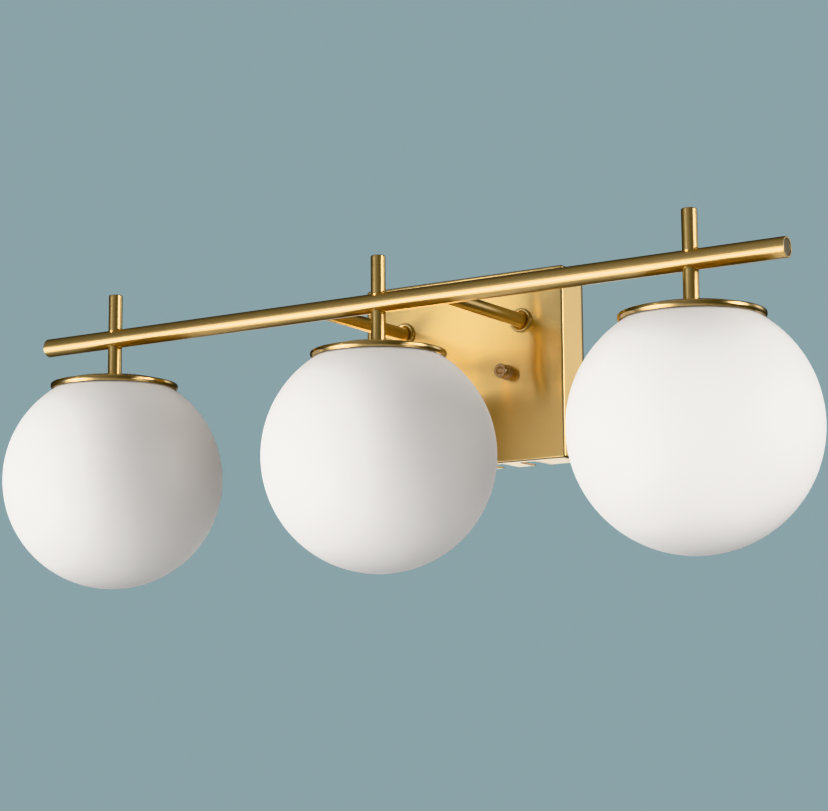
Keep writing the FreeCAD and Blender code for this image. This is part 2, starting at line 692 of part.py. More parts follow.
def shade_cap(name, across):
    """A spun cap: flat middle, falling shoulder and a straight rim."""
    rim = CAP_RADIUS
    flat = FITTER_RADIUS + " + slip + cap_lip"
    hole = NIPPLE_SIZE + " / 2 + 0.2"
    top = "cap_rim + cap_crown"
    corners = (
        (hole, top + " - cap_sheet"), (flat, top + " - cap_sheet"),
        (rim + " - cap_sheet", "cap_rim - cap_sheet"), (rim + " - cap_sheet", "0"),
        (rim, "0"), (rim, "cap_rim - 0.5"), (rim + " - 0.5", "cap_rim"),
        (flat, top), (hole, top))
    keep(turned("shade_cap_" + name, corners, across, LAMP_Y, RIM_TOP + " - cap_rim"),
         "shade_cap_" + name)


def fitter(name, across):
    """The fixed ring that the globe's collar screws onto, closed at its top."""
    outer = FITTER_RADIUS
    hole = NIPPLE_SIZE + " / 2 + 0.2"
    corners = (
        (hole, "fitter_skirt - fitter_sheet"),
        (outer + " - fitter_sheet", "fitter_skirt - fitter_sheet"),
        (outer + " - fitter_sheet", "0"), (outer, "0"),
        (outer, "fitter_skirt"), (hole, "fitter_skirt"))
    keep(turned("fitter_" + name, corners, across, LAMP_Y, CAP_UNDER + " - fitter_skirt"),
         "fitter_" + name)


def globe(name, across):
    """Blown opal globe with a flat ground mouth, and the collar bonded in it."""
    inner = GLOBE_INNER
    body = doc.addObject("PartDesign::Body", "globe_" + name)
    corners = (
        ("mouth_bore / 2", MOUTH_RISE, "arc"), ("0", "0 - " + inner),
        ("0", "0 - globe_size / 2", "arc"), (MOUTH_OUTER, MOUTH_RISE))
    sketch = outline(body, "globe_outline_" + name, corners)
    doc.recompute()
    spin = body.newObject("PartDesign::Revolution", "globe_turned_" + name)
    spin.Profile = sketch
    spin.ReferenceAxis = (sketch, ["V_Axis"])
    spin.Angle = 360.0
    place(body, across, LAMP_Y, GLOBE_CENTRE)
    keep(body, "globe_" + name)
    bore = COLLAR_RADIUS
    skirt = "mouth_bore / 2 - bond_gap"
    corners = (
        (bore, "0"), (skirt, "0"), (skirt, "collar_skirt"),
        (FLANGE_RADIUS, "collar_skirt"),
        (FLANGE_RADIUS, "collar_skirt + collar_sheet"),
        (bore, "collar_skirt + collar_sheet"))
    keep(turned("globe_collar_" + name, corners, across, LAMP_Y, MOUTH + " - collar_skirt"),
         "globe_collar_" + name)


def lampholder(name, across, facing):
    """Porcelain holder with a wiring chamber over the lamp cavity."""
    body = "holder_size / 2"
    cavity = "holder_cavity / 2"
    chamber = "chamber_size / 2"
    hole = NIPPLE_SIZE + " / 2 + 0.2"
    web_low = "holder_height - holder_top - chamber_height - holder_web"
    web_high = "holder_height - holder_top - chamber_height"
    roof = "holder_height - holder_top"
    low = turned("holder_cup_" + name, (
        (cavity, "0"), (body, "0"), (body, "holder_height - 2.5"),
        (body + " - 2.5", "holder_height"), (hole, "holder_height"), (hole, roof),
        (chamber, roof), (chamber, web_high), ("0", web_high), ("0", web_low),
        (cavity, web_low)), 0, 0, 0)
    ports = []
    for port, offset in (("hot", "hot_port"), ("neutral", "0 - neutral_port")):
        ports.append(cylinder("holder_%s_port_%s" % (port, name), "wire_size / 2 + 0.3",
                              "holder_web + 2", offset, 0, web_low + " - 1"))
    place_turned = HALF_TURN if facing < 0 else None
    solid = cut("lampholder_" + name, low, *ports)
    place(solid, across, LAMP_Y, HOLDER_TOP + " - holder_height", place_turned)
    keep(solid, "lampholder_" + name)
    shell = "shell_bore / 2"
    corners = (
        (shell, "0"), (shell + " + shell_sheet", "0"),
        (shell + " + shell_sheet", "shell_depth"), ("neutral_port - 2", "shell_depth"),
        ("neutral_port - 2", "shell_depth - shell_sheet"), (shell, "shell_depth - shell_sheet"))
    keep(turned("screw_shell_" + name, corners, across, LAMP_Y, CAVITY_TOP + " - shell_depth"),
         "screw_shell_" + name)


def contact(name, across, facing):
    """The spring strip under the holder's web that meets the lamp's tip."""
    strip = doc.addObject("Part::Box", "contact_" + name)
    bind(strip, Length="hot_port + 3.6", Width="4.0", Height="shell_sheet")
    turn = HALF_TURN if facing < 0 else None
    return place(strip, "%s - %d * 2.6" % (across, facing), "%s - %d * 2" % (LAMP_Y, facing),
                 CAVITY_TOP + " - shell_sheet", turn)


def lamp(name, across):
    """A small frosted lamp: glass envelope in a threaded base."""
    thread = "lamp_thread / 2"
    ridges = 5
    corners = [("0", "0"), (thread + " - 1.6", "0")]
    for ridge in range(ridges):
        low = "lamp_base * %.2f" % (0.08 + 0.17 * ridge)
        high = "lamp_base * %.2f" % (0.165 + 0.17 * ridge)
        corners += [(thread + " - 0.9", low), (thread, high)]
    corners += [(thread + " - 1.0", "lamp_base"), ("4.5", "lamp_base + lamp_tip - 1"),
                ("4.5", "lamp_base + lamp_tip"), ("0", "lamp_base + lamp_tip")]
    low_z = LAMP_TIP_Z + " - lamp_tip - lamp_base"
    keep(turned("lamp_base_" + name, corners, across, LAMP_Y, low_z), "lamp_base_" + name)
    neck = thread + " - 1.6"
    radius = "lamp_bulb / 2"
    # heights above the lamp's lowest point
    neck_z = "(lamp_length - lamp_base - lamp_tip)"
    body = doc.addObject("PartDesign::Body", "lamp_glass_" + name)
    inner = "(lamp_bulb / 2 - lamp_glass)"
    shoulder = "(lamp_bulb / 2 * sqrt(3) / 2)"
    inner_shoulder = "(%s * sqrt(3) / 2)" % inner
    corners = (
        (neck, neck_z + " - " + radius), (inner_shoulder, inner + " / 2", "arc"),
        ("0", "0 - " + inner), ("0", "0 - " + radius, "arc"), (shoulder, radius + " / 2"),
        (neck + " + lamp_glass", neck_z + " - " + radius))
    sketch = outline(body, "lamp_outline_" + name, corners)
    doc.recompute()
    spin = body.newObject("PartDesign::Revolution", "lamp_turned_" + name)
    spin.Profile = sketch
    spin.ReferenceAxis = (sketch, ["V_Axis"])
    spin.Angle = 360.0
    place(body, across, LAMP_Y, "%s - lamp_length + lamp_bulb / 2" % LAMP_TIP_Z)
    keep(body, "lamp_glass_" + name)


# ------------------------------------------------------------------ wires

def rounded_path(points, radii):
    """Straight runs through the points, joined by tangent arcs."""
    edges = []
    start = points[0]
    for index in range(1, len(points) - 1):
        corner = points[index]
        before = (points[index - 1] - corner).normalize()
        after = (points[index + 1] - corner).normalize()
        half = before.getAngle(after) / 2
        reach = radii[index - 1] / math.tan(half)
        first = corner + before * reach
        last = corner + after * reach
        centre = corner + (before + after).normalize() * (radii[index - 1] / math.sin(half))
        middle = centre + (corner - centre).normalize() * radii[index - 1]
        if (first - start).Length > 1e-6:
            edges.append(Part.LineSegment(start, first).toShape())
        edges.append(Part.Arc(first, middle, last).toShape())
        start = last
    edges.append(Part.LineSegment(start, points[-1]).toShape())
    return Part.Wire(edges)


def wire_solid(points, radii, radius):
    """A round solid carried along a rounded path."""
    path = rounded_path(points, radii)
    start = points[0]
    heading = (points[1] - points[0]).normalize()
    section = Part.Wire(Part.Circle(start, heading, radius).toShape())
    solid = path.makePipeShell([section], True, False)
    wanted = math.pi * radius ** 2 * path.Length
    if not solid.isValid() or abs(solid.Volume / wanted - 1) > 0.01:
        raise RuntimeError("a wire's tube has the wrong volume")
    return solid


def wire(name, points, radii):
    """One wire as a feature of its own."""
    if not isinstance(radii, (list, tuple)):
        radii = [radii] * (len(points) - 2)
    feature = doc.addObject("Part::Feature", name)
    feature.Shape = wire_solid(points, radii, value("wire_size / 2"))
    return feature


def lead_pair(name, lamp, arm):
    """Hot and neutral leads of one lamp, from its holder to the connectors.

    lamp is the stem's place along the bar, and arm the side of the arm that
    the pair runs in.
    """
    heading = 1 if value("%d * stem_spacing" % lamp) > value("%d * arm_spacing / 2" % arm) else -1
    half = value("wire_pitch / 2")
    axis_y = value(LAMP_Y)
    axis_z = value("bar_rise")
    stem_x = value("%d * stem_spacing" % lamp)
    arm_x = value("%d * arm_spacing / 2" % arm) + heading * half
    members = []
    for kind, up, plane, port, end_x in (
            ("hot", 1, "hot_plane", value("hot_port"), value("connector_offset")),
            ("neutral", -1, "neutral_plane", -value("neutral_port"), -value("connector_offset"))):
        stem_wire = stem_x + heading * up * half
        port_x = stem_x + heading * port
        run_z = axis_z + up * half
        plane = value(plane)
        mouth_x = end_x + value("wire_pitch") * RANKS[name]
        high, low = DROPS[(name, kind)]
        holder_z = value(CAVITY_TOP)
        points = [
            FreeCAD.Vector(port_x, axis_y, holder_z + 0.3),
            FreeCAD.Vector(port_x, axis_y, value(WEB_TOP) + 3.2),
            FreeCAD.Vector(stem_wire, axis_y, value(CHAMBER_TOP) - 0.2),
            FreeCAD.Vector(stem_wire, axis_y, run_z),
            FreeCAD.Vector(arm_x, axis_y, run_z),
            FreeCAD.Vector(arm_x, -plane, run_z),
            FreeCAD.Vector(arm_x, -plane, high),
            FreeCAD.Vector(mouth_x, -plane, low),
            FreeCAD.Vector(mouth_x, -plane, -value("connector_mouth + wire_entry"))]
        bend = value("stem_bend") + (up + 1) * half
        soft = value("holder_bend")
        room = value(ARM_NIPPLE_END) - plane - value("slip")
        turn = value("box_bend")
        radii = [soft, soft, bend, value("bar_bend"), min(turn, room), turn / 2, turn / 2]
        feature = doc.addObject("Part::Feature", "lead_%s_%s" % (kind, name))
        feature.Shape = wire_solid(points, radii, value("wire_size / 2"))
        members.append(feature)
    keep(group("lead_wires_" + name, members), "lead_wires_" + name)


# Place of each lamp's wire in a connector's mouth, and the two heights at
# which its leads turn inside the canopy: where they leave the arm's line and
# where they turn down into the connector.
RANKS = {"left": -1, "centre": 0, "right": 1}
DROPS = {
    ("left", "neutral"): (-8.0, -17.5),
    ("centre", "neutral"): (8.0, -4.0),
    ("right", "neutral"): (8.0, 0.0),
    ("left", "hot"): (8.0, -2.0),
    ("centre", "hot"): (14.0, 4.0),
    ("right", "hot"): (-8.0, -17.5),
}


def connectors():
    """Twist-on connectors that join the leads, mouths upwards."""
    mouth = "connector_size / 2"
    bore = "connector_bore / 2"
    corners = (
        ("0", "0"), (mouth + " - 2", "0"), (mouth + " - 1.2", "1.2"),
        (mouth, "connector_length - 3"), (mouth, "connector_length"),
        (bore, "connector_length"), (bore, "connector_length - 10"),
        ("0", "connector_length - 12"))
    members = []
    for kind, side, plane in (("hot", 1, "hot_plane"), ("neutral", -1, "neutral_plane")):
        members.append(turned("connector_" + kind, corners, "%d * connector_offset" % side,
                              "0 - " + plane, "0 - connector_mouth - connector_length"))
    keep(group("wire_connectors", members), "wire_connectors")


# ------------------------------------------------------------------ build

def lamps():
    """Every piece of the three lamps, from the stem down."""
    nipples = []
    nuts = []
    gaskets = []
    contacts = []
    bore = NIPPLE_SIZE + " / 2"
    for name, number in LAMPS:
        across = "%d * stem_spacing" % number
        facing = -1 if number < 0 else 1
        stems(name, across)
        shade_cap(name, across)
        fitter(name, across)
        globe(name, across)
        lampholder(name, across, facing)
        lamp(name, across)
        contacts.append(contact(name, across, facing))
        nipples.append(tube("stem_nipple_" + name, bore, NIPPLE_BORE + " / 2",
                            "%s + nipple_grip - %s - 0.5" % (CAP_TOP, CHAMBER_TOP),
                            across, LAMP_Y, CHAMBER_TOP + " + 0.5"))
        nuts.append(hexagon("cap_nut_" + name, "nut_across", "nut_height",
                            bore + " + %s" % JOINT_GAP,
                            across, LAMP_Y, NUT_TOP + " - nut_height"))
        gaskets.append(tube("gasket_" + name, FLANGE_RADIUS + " - gasket_inset",
                            FITTER_RADIUS + " + slip / 2", "gasket_height",
                            across, LAMP_Y, MOUTH + " + collar_sheet + slip"))
    keep(group("stem_nipples", nipples), "stem_nipples")
    keep(group("cap_lock_nuts", nuts), "cap_lock_nuts")
    keep(group("cap_gaskets", gaskets), "cap_gaskets")
    keep(group("centre_contacts", contacts), "centre_contacts")


canopy_pan()
crossbar()
studs_and_nuts()
finials()
ground()
arms()
bar()
lamps()
connectors()
lead_pair("left", -1, -1)
lead_pair("centre", 0, -1)
lead_pair("right", 1, 1)
doc.recompute()

faults = []
for item in doc.Objects:
    if "Invalid" in item.State or "Error" in item.State:
        faults.append("%s is %s" % (item.Name, item.State))
for node in nodes:
    if node.Shape.isNull() or not node.Shape.isValid() or not node.Shape.Solids:
        faults.append("%s has no sound shape" % node.Label)
if faults:
    raise RuntimeError("; ".join(faults))

os.makedirs("parts", exist_ok=True)
for node in nodes:
    node.Shape.exportStep("parts/%s.step" % node.Label)
print("%d nodes, %d solids" % (len(nodes), sum(len(n.Shape.Solids) for n in nodes)))
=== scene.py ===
"""Vanity light bar: a brass bar on two arms, with three opal globes under shade caps."""
import logging
import math
from dataclasses import dataclass, field
from enum import Enum
from functools import cache
from typing import Optional, Sequence

import bmesh
import bpy
import numpy as np
from mathutils import Matrix, Vector


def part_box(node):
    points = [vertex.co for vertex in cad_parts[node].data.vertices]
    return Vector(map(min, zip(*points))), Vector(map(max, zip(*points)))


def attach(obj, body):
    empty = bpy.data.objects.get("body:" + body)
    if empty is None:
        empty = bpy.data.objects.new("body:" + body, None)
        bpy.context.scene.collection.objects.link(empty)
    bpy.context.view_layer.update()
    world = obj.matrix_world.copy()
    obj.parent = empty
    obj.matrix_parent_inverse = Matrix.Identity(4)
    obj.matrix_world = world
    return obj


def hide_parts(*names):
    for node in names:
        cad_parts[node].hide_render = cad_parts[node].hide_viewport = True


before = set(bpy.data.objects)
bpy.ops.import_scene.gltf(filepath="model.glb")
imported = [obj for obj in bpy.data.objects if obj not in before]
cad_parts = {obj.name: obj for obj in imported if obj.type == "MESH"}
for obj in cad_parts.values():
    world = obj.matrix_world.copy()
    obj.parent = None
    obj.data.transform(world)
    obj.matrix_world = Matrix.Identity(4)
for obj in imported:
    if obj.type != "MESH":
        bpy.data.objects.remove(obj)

LOG = logging.getLogger("light_bar")
Array = np.ndarray
MM = 0.001
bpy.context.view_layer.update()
FIXTURE = "fixture"
RUN_UNIT = 0.05       # length along a profile that fills the UV map once
HAIR = 0.0001 * MM    # rounding of an edge that sinks into the bar
CRISP = 0.05 * MM     # rounding of an edge that is left sharp
WELD = 1e-6           # points nearer than this are joined
LONGEST_REACH = 0.45  # share of a side that a rounded corner may take


# ------------------------------------------------------------------ choices

class Side(Enum):
    """The two sides of the canopy."""

    LEFT = -1
    RIGHT = 1

    @property
    def label(self) -> str:
        """The side's word in node and piece names."""
        return self.name.lower()


class LampPlace(Enum):
    """The three lamps along the bar."""

    LEFT = "left"
    CENTRE = "centre"
    RIGHT = "right"


class Heading(Enum):
    """The way a turned piece's axis points, with the two directions square to it."""

    UP = ((0.0, 0.0, 1.0), (1.0, 0.0, 0.0), (0.0, 1.0, 0.0))
    ROOM = ((0.0, -1.0, 0.0), (1.0, 0.0, 0.0), (0.0, 0.0, 1.0))
    RIGHT = ((1.0, 0.0, 0.0), (0.0, 1.0, 0.0), (0.0, 0.0, 1.0))
    LEFT = ((-1.0, 0.0, 0.0), (0.0, 1.0, 0.0), (0.0, 0.0, 1.0))

    @property
    def axes(self) -> Array:
        """The axis and its two square directions, as three rows."""
        return np.array(self.value)


class Brushing(Enum):
    """The way the brush ran over a piece.

    Each value is the scale of the grain along the three parts of the piece's run, then the turn of
    its stretched gloss.
    """

    AROUND = ((120.0, 120.0, 5200.0), 0.25)
    SHEET = ((22.0, 22.0, 5200.0), 0.25)

    @property
    def scale(self) -> tuple[float, float, float]:
        """Grain scale along the piece's own run."""
        return self.value[0]

    @property
    def gloss_turn(self) -> float:
        """Turn of the stretched gloss, in whole turns."""
        return self.value[1]


# ------------------------------------------------------------------ surfaces

@dataclass(frozen=True)
class Profile:
    """A line in a turned piece's half plane: radius, height and wear at each point."""

    points: Array
    wear: Array

    @staticmethod
    def line(points: Array) -> "Profile":
        """Takes points that already lie on a smooth line.

        Args:
            points: radius and height of each point.

        Returns:
            The profile, with no wear on it.
        """
        return Profile(np.asarray(points, float), np.zeros(len(points)))

    @staticmethod
    def curve(radius: Array | float, height: Array) -> "Profile":
        """Takes a smooth line as its radii and its heights."""
        return Profile.line(np.stack(np.broadcast_arrays(radius, height), axis=1))

    @staticmethod
    def arc(radius: float, height: float, start: float, end: float, steps: int) -> "Profile":
        """Part of a circle whose middle is on the axis.

        The point at angle a is (radius sin a, height + radius cos a).

        Args:
            radius: the circle's radius.
            height: height of its middle.
            start: first angle down from the top, in radians.
            end: last angle.
            steps: number of steps between them.

        Returns:
            The profile of the arc.
        """
        angle = np.linspace(start, end, steps + 1)
        return Profile.curve(radius * np.sin(angle), height + radius * np.cos(angle))

    @staticmethod
    def softened(corners: Sequence[Sequence[float]], radius: float | Sequence[float],
                 ring: bool = False, steps: int = 5) -> "Profile":
        """Rounds the corners of a polygon line.

        Each corner c becomes the curve (1-t)^2 a + 2 t (1-t) c + t^2 b. Here a and b lie on its two
        sides at the reach radius / tan(half the corner's angle), which LONGEST_REACH limits.
        One more point outside each end of the curve keeps the shading of the flat sides flat.

        Args:
            corners: radius and height of each corner, in order.
            radius: rounding radius, one for all or one for each corner.
            ring: whether the last corner joins the first, as in the section of a ring.
            steps: steps along each curve.

        Returns:
            The rounded profile, with wear on its outward edges.
        """
        spots = np.asarray(corners, float)
        radii = np.broadcast_to(np.asarray(radius, float), (len(spots),))
        after = np.roll(spots, -1, axis=0)
        before = np.roll(spots, 1, axis=0)
        area = np.sum(spots[:, 0] * after[:, 1] - spots[:, 1] * after[:, 0])
        inner = slice(None) if ring else slice(1, -1)
        spot, reach_in, reach_out = spots[inner], (before - spots)[inner], (after - spots)[inner]
        length_in = np.linalg.norm(reach_in, axis=1, keepdims=True)
        length_out = np.linalg.norm(reach_out, axis=1, keepdims=True)
        toward_in, toward_out = reach_in / length_in, reach_out / length_out
        half = np.arccos(np.clip(np.sum(toward_in * toward_out, axis=1), -0.9999, 0.9999)) / 2
        shorter = np.minimum(length_in, length_out)
        reach = np.minimum(radii[inner][:, None] / np.tan(half)[:, None], LONGEST_REACH * shorter)
        guard = np.minimum(1.3 * reach, 0.49 * shorter)
        way = np.linspace(0.0, 1.0, steps + 1)
        t = way[None, :, None]
        first, last = (spot + toward_in * reach)[:, None], (spot + toward_out * reach)[:, None]
        curve = (1 - t) ** 2 * first + 2 * t * (1 - t) * spot[:, None] + t ** 2 * last
        block = np.concatenate([(spot + toward_in * guard)[:, None], curve,
                                (spot + toward_out * guard)[:, None]], axis=1)
        turn = toward_out[:, 0] * toward_in[:, 1] - toward_out[:, 1] * toward_in[:, 0]
        outward = (turn * np.sign(area) > 0).astype(float)
        bell = np.pad(np.sin(np.pi * way) ** 0.5, 1)
        points, wear = block.reshape(-1, 2), (outward[:, None] * bell[None, :]).reshape(-1)
        if ring:
            return Profile(points, wear)
        return Profile(np.concatenate([spots[:1], points, spots[-1:]]),
                       np.concatenate([[0.0], wear, [0.0]]))

    def then(self, other: "Profile") -> "Profile":
        """This profile with another after it."""
        return Profile(np.concatenate([self.points, other.points]),
                       np.concatenate([self.wear, other.wear]))

    def finer(self, longest: float) -> "Profile":
        """Adds points so that no step is longer than a limit.

        Args:
            longest: the longest step allowed.

        Returns:
            The profile with straight steps divided evenly.
        """
        steps = np.linalg.norm(np.diff(self.points, axis=0), axis=1)
        parts = np.maximum(1, np.ceil(steps / longest)).astype(int)
        run = np.concatenate([[0.0], np.cumsum(parts)])
        where = np.arange(run[-1] + 1)
        radius, height = (np.interp(where, run, self.points[:, k]) for k in (0, 1))
        return Profile(np.stack([radius, height], axis=1), np.interp(where, run, self.wear))


@dataclass
class Skin:
    """One grid of points with its faces, its run for the grain, and its wear."""

    points: Array
    faces: Array
    uv: Array
    grain: Array
    wear: Array

    @staticmethod
    def from_grid(points: Array, grain: Array, wear: Array, around: Array, along: Array,
                  wrap_rows: bool = False, keep: Optional[Array] = None) -> "Skin":
        """Makes the faces of a grid whose rows run along a profile and whose columns go around.

        Face (i, j) joins the grid's points (i, j), (i, j+1), (i+1, j+1) and (i+1, j), and the last
        column joins the first.

        Args:
            points: the grid, rows by columns by 3.
            grain: the run at each point, rows by columns by 3.
            wear: wear at each point, rows by columns.
            around: horizontal place of each column in the UV map, and one more.
            along: vertical place of each row, and one more if the rows wrap.
            wrap_rows: whether the last row joins the first.
            keep: which faces stay, rows of faces by columns of faces, or None for all.

        Returns:
            The skin.
        """
        rows, columns = points.shape[:2]
        i, j = np.meshgrid(np.arange(rows if wrap_rows else rows - 1), np.arange(columns),
                           indexing="ij")
        if keep is not None:
            i, j = i[keep], j[keep]
        corner_i = np.stack([i, i, i + 1, i + 1], axis=-1).reshape(-1, 4)
        corner_j = np.stack([j, j + 1, j + 1, j], axis=-1).reshape(-1, 4)
        faces = (corner_i % rows) * columns + corner_j % columns
        uv = np.stack([around[corner_j], along[corner_i]], axis=-1).reshape(-1, 2)
        return Skin(points.reshape(-1, 3), faces, uv, grain.reshape(-1, 3), wear.reshape(-1))


def turned(profile: Profile, origin: Sequence[float], heading: Heading = Heading.UP,
           columns: int = 96, ring: bool = False, fluting: Optional[Array] = None) -> Skin:
    """A profile turned about an axis.

    The point at profile place s and angle a is origin + height w + radius (cos a u + sin a v), with
    the height and the radius at s. Here w is the axis, and u and v are square to it. A pole is
    where the radius is 0.

    Args:
        profile: radius and height along the section.
        origin: where the axis starts.
        heading: the way the axis points.
        columns: number of steps around.
        ring: whether the section is a closed ring clear of the axis.
        fluting: a factor on the radius for each profile point and column, or None.

    Returns:
        The turned skin. Its grain is (radius cos a, radius sin a, length along the profile).
    """
    angle = np.arange(columns) * (2 * np.pi / columns)
    radius, height = profile.points[:, :1], profile.points[:, 1:]
    spread = radius * (np.ones((1, columns)) if fluting is None else fluting)
    axis, first, second = heading.axes
    across, up = spread * np.cos(angle), spread * np.sin(angle)
    points = (np.asarray(origin, float) + height[:, :, None] * axis
              + across[:, :, None] * first + up[:, :, None] * second)
    closing = profile.points[:1] if ring else np.empty((0, 2))
    steps = np.linalg.norm(np.diff(np.concatenate([profile.points, closing]), axis=0), axis=1)
    length = np.concatenate([[0.0], np.cumsum(steps)])
    grain = np.stack([radius * np.cos(angle), radius * np.sin(angle),
                      np.broadcast_to(length[:len(radius), None], across.shape)], axis=-1)
    wear = np.broadcast_to(profile.wear[:, None], across.shape)
    around = np.linspace(0.0, 1.0, columns + 1)
    return Skin.from_grid(points, grain, wear, around, length / RUN_UNIT, wrap_rows=ring)


def saddled(skin: Skin, axis: int, across: int, centre: tuple[float, float], radius: float,
            sign: int) -> Skin:
    """Fits the end of a turned piece to the round bar that it meets.

    The coordinate h along the piece is pushed out to the bar: it is kept past
    h0 + sign sqrt(R^2 - d^2), where d is the distance of the point from the bar's middle plane.

    Args:
        skin: the skin to fit.
        axis: index of the coordinate along the piece.
        across: index of the coordinate square to both the piece and the bar.
        centre: the bar axis's places along those two coordinates.
        radius: radius of the saddle.
        sign: 1 where the piece lies on the far side of the bar along its axis, or -1.

    Returns:
        The same skin with its end fitted.
    """
    off = skin.points[:, across] - centre[1]
    surface = centre[0] + sign * np.sqrt(np.maximum(radius ** 2 - off ** 2, 0.0))
    fit = np.maximum if sign > 0 else np.minimum
    skin.points[:, axis] = fit(skin.points[:, axis], surface)
    return skin


# ------------------------------------------------------------------ shader parts

class Bench:
    """A small workbench for putting nodes into one tree."""

    def __init__(self, tree: bpy.types.NodeTree) -> None:
        """Takes the tree to work on and empties it."""
        self.tree = tree
        tree.nodes.clear()

    def node(self, kind: str, values: Optional[dict] = None, **settings: object) -> bpy.types.Node:
        """Adds a node.

        Args:
            kind: the node's type name after ShaderNode, or in full.
            values: input socket name or number to a constant or an output socket.
            settings: properties of the node.

        Returns:
            The new node.
        """
        made = self.tree.nodes.new(kind if kind.startswith("NodeGroup") else "ShaderNode" + kind)
        for name, value in settings.items():
            setattr(made, name, value)
        for name, value in (values or {}).items():
            self.feed(made.inputs[name], value)
        return made

    def fill(self, node: bpy.types.Node, **values: object) -> bpy.types.Node:
        """Feeds a node's inputs, whose names are given with underscores for spaces."""
        for name, value in values.items():
            self.feed(node.inputs[name.replace("_", " ")], value)
        return node

    def feed(self, socket: bpy.types.NodeSocket, value: object) -> None:
        """Links an output socket to an input, or sets its constant."""
        if isinstance(value, bpy.types.NodeSocket):
            self.tree.links.new(value, socket)
        else:
            socket.default_value = value

    def math(self, operation: str, *values: object) -> bpy.types.NodeSocket:
        """Adds a Math node and returns its output."""
        return self.node("Math", dict(enumerate(values)), operation=operation).outputs[0]

    def dot(self, first: object, second: object) -> bpy.types.NodeSocket:
        """Adds the dot product of two directions and returns its output."""
        made = self.node("VectorMath", {0: first, 1: second}, operation="DOT_PRODUCT")
        return made.outputs["Value"]

    def noise(self, place: object, scale: object, detail: float,
              roughness: float = 0.5) -> bpy.types.NodeSocket:
        """Adds a Noise Texture node and returns its value."""
        return self.node("TexNoise", {"Vector": place, "Scale": scale, "Detail": detail,
                                      "Roughness": roughness}).outputs["Fac"]

    def bump(self, shader: bpy.types.Node, height: object, strength: float,
             distance: float) -> None:
        """Puts a height on a shader as a bump."""
        bump = self.node("Bump", {"Height": height, "Strength": strength, "Distance": distance})
        self.feed(shader.inputs["Normal"], bump.outputs[0])

    def group(self, group: bpy.types.NodeTree, **values: object) -> bpy.types.bpy_prop_collection:
        """Places a node group, feeds its inputs and returns its outputs."""
        made = self.tree.nodes.new("ShaderNodeGroup")
        made.node_tree = group
        return self.fill(made, **values).outputs


def effect(name: str, outputs: Sequence[str], **inputs: object) -> tuple:
    """Starts a shader node group for an effect that several finishes share.

    Args:
        name: the group's name.
        outputs: name of each output, all of them numbers.
        inputs: default of each input, a number or a vector, with underscores for spaces.

    Returns:
        The bench on its tree, what its input node gives and what its output node takes.
    """
    tree = bpy.data.node_groups.new(name, "ShaderNodeTree")
    bench = Bench(tree)
    for label, default in inputs.items():
        kind = "NodeSocketVector" if isinstance(default, tuple) else "NodeSocketFloat"
        label = label.replace("_", " ")
        socket = tree.interface.new_socket(label, in_out="INPUT", socket_type=kind)
        socket.default_value = default
    for label in outputs:
        tree.interface.new_socket(label, in_out="OUTPUT", socket_type="NodeSocketFloat")
    return bench, tree.nodes.new("NodeGroupInput").outputs, tree.nodes.new("NodeGroupOutput").inputs


class Effects:
    """The shared effects, each a node group that is built once."""

    WIDE_LINES = 0.17
    WIDE_SHARE = 0.4
    WEAR_PATCHES = 420.0

    @staticmethod
    @cache
    def brushed_grain() -> bpy.types.NodeTree:
        """Fine lines left by a brush: stretched noise at two sizes.

        Returns:
            The group, with output Lines about 0, which serves as a height and as a shade.
        """
        bench, given, out = effect("brushed_grain", ["Lines"], Run=(0, 0, 0), Scale=(1, 1, 1))
        run = bench.node("VectorMath", {0: given["Run"], 1: given["Scale"]},
                         operation="MULTIPLY").outputs[0]
        fine, wide = bench.noise(run, 1.0, 3.0, 0.65), bench.noise(run, Effects.WIDE_LINES, 2.0)
        both = bench.math("MULTIPLY_ADD", fine, 1 - Effects.WIDE_SHARE,
                          bench.math("MULTIPLY", wide, Effects.WIDE_SHARE))
        bench.feed(out["Lines"], bench.math("SUBTRACT", both, 0.5))
        return bench.tree

    @staticmethod
    @cache
    def edge_wear() -> bpy.types.NodeTree:
        """Rubbed edges: the wear attribute broken up by noise.

        Returns:
            The group, with output Mask from 0 to 1.
        """
        bench, given, out = effect("edge_wear", ["Mask"], Wear=0.0, Place=(0, 0, 0), Amount=0.5)
        patches = bench.noise(given["Place"], Effects.WEAR_PATCHES, 3.0)
        broken = bench.node("MapRange", {"Value": patches, "From Min": 0.3, "From Max": 0.7,
                                         "To Min": 0.35, "To Max": 1.0}).outputs[0]
        worn = bench.math("MULTIPLY", given["Wear"], broken)
        bench.feed(out["Mask"], bench.math("MULTIPLY", worn, given["Amount"]))
        return bench.tree

    @staticmethod
    @cache
    def slow_tone() -> bpy.types.NodeTree:
        """Broad, faint drift of tone over a surface, with a fine speckle as height.

        Returns:
            The group, with outputs Drift about 0 and Speckle from 0 to 1.
        """
        bench, given, out = effect("slow_tone", ["Drift", "Speckle"], Place=(0, 0, 0),
                                   Broad_Scale=18.0, Fine_Scale=900.0)
        broad = bench.noise(given["Place"], given["Broad Scale"], 2.0)
        bench.feed(out["Drift"], bench.math("SUBTRACT", broad, 0.5))
        bench.feed(out["Speckle"], bench.noise(given["Place"], given["Fine Scale"], 2.0))
        return bench.tree

    @staticmethod
    @cache
    def thread_ridges() -> bpy.types.NodeTree:
        """Screw threads as height: a saw of waves along one direction.

        Returns:
            The group, with output Height from 0 to 1.
        """
        bench, given, out = effect("thread_ridges", ["Height"], Place=(0, 0, 0), Along=(0, 1, 0),
                                   Pitch=0.0008)
        turns = bench.math("DIVIDE", bench.dot(given["Place"], given["Along"]), given["Pitch"])
        bench.feed(out["Height"], bench.math("PINGPONG", turns, 0.5))
        return bench.tree


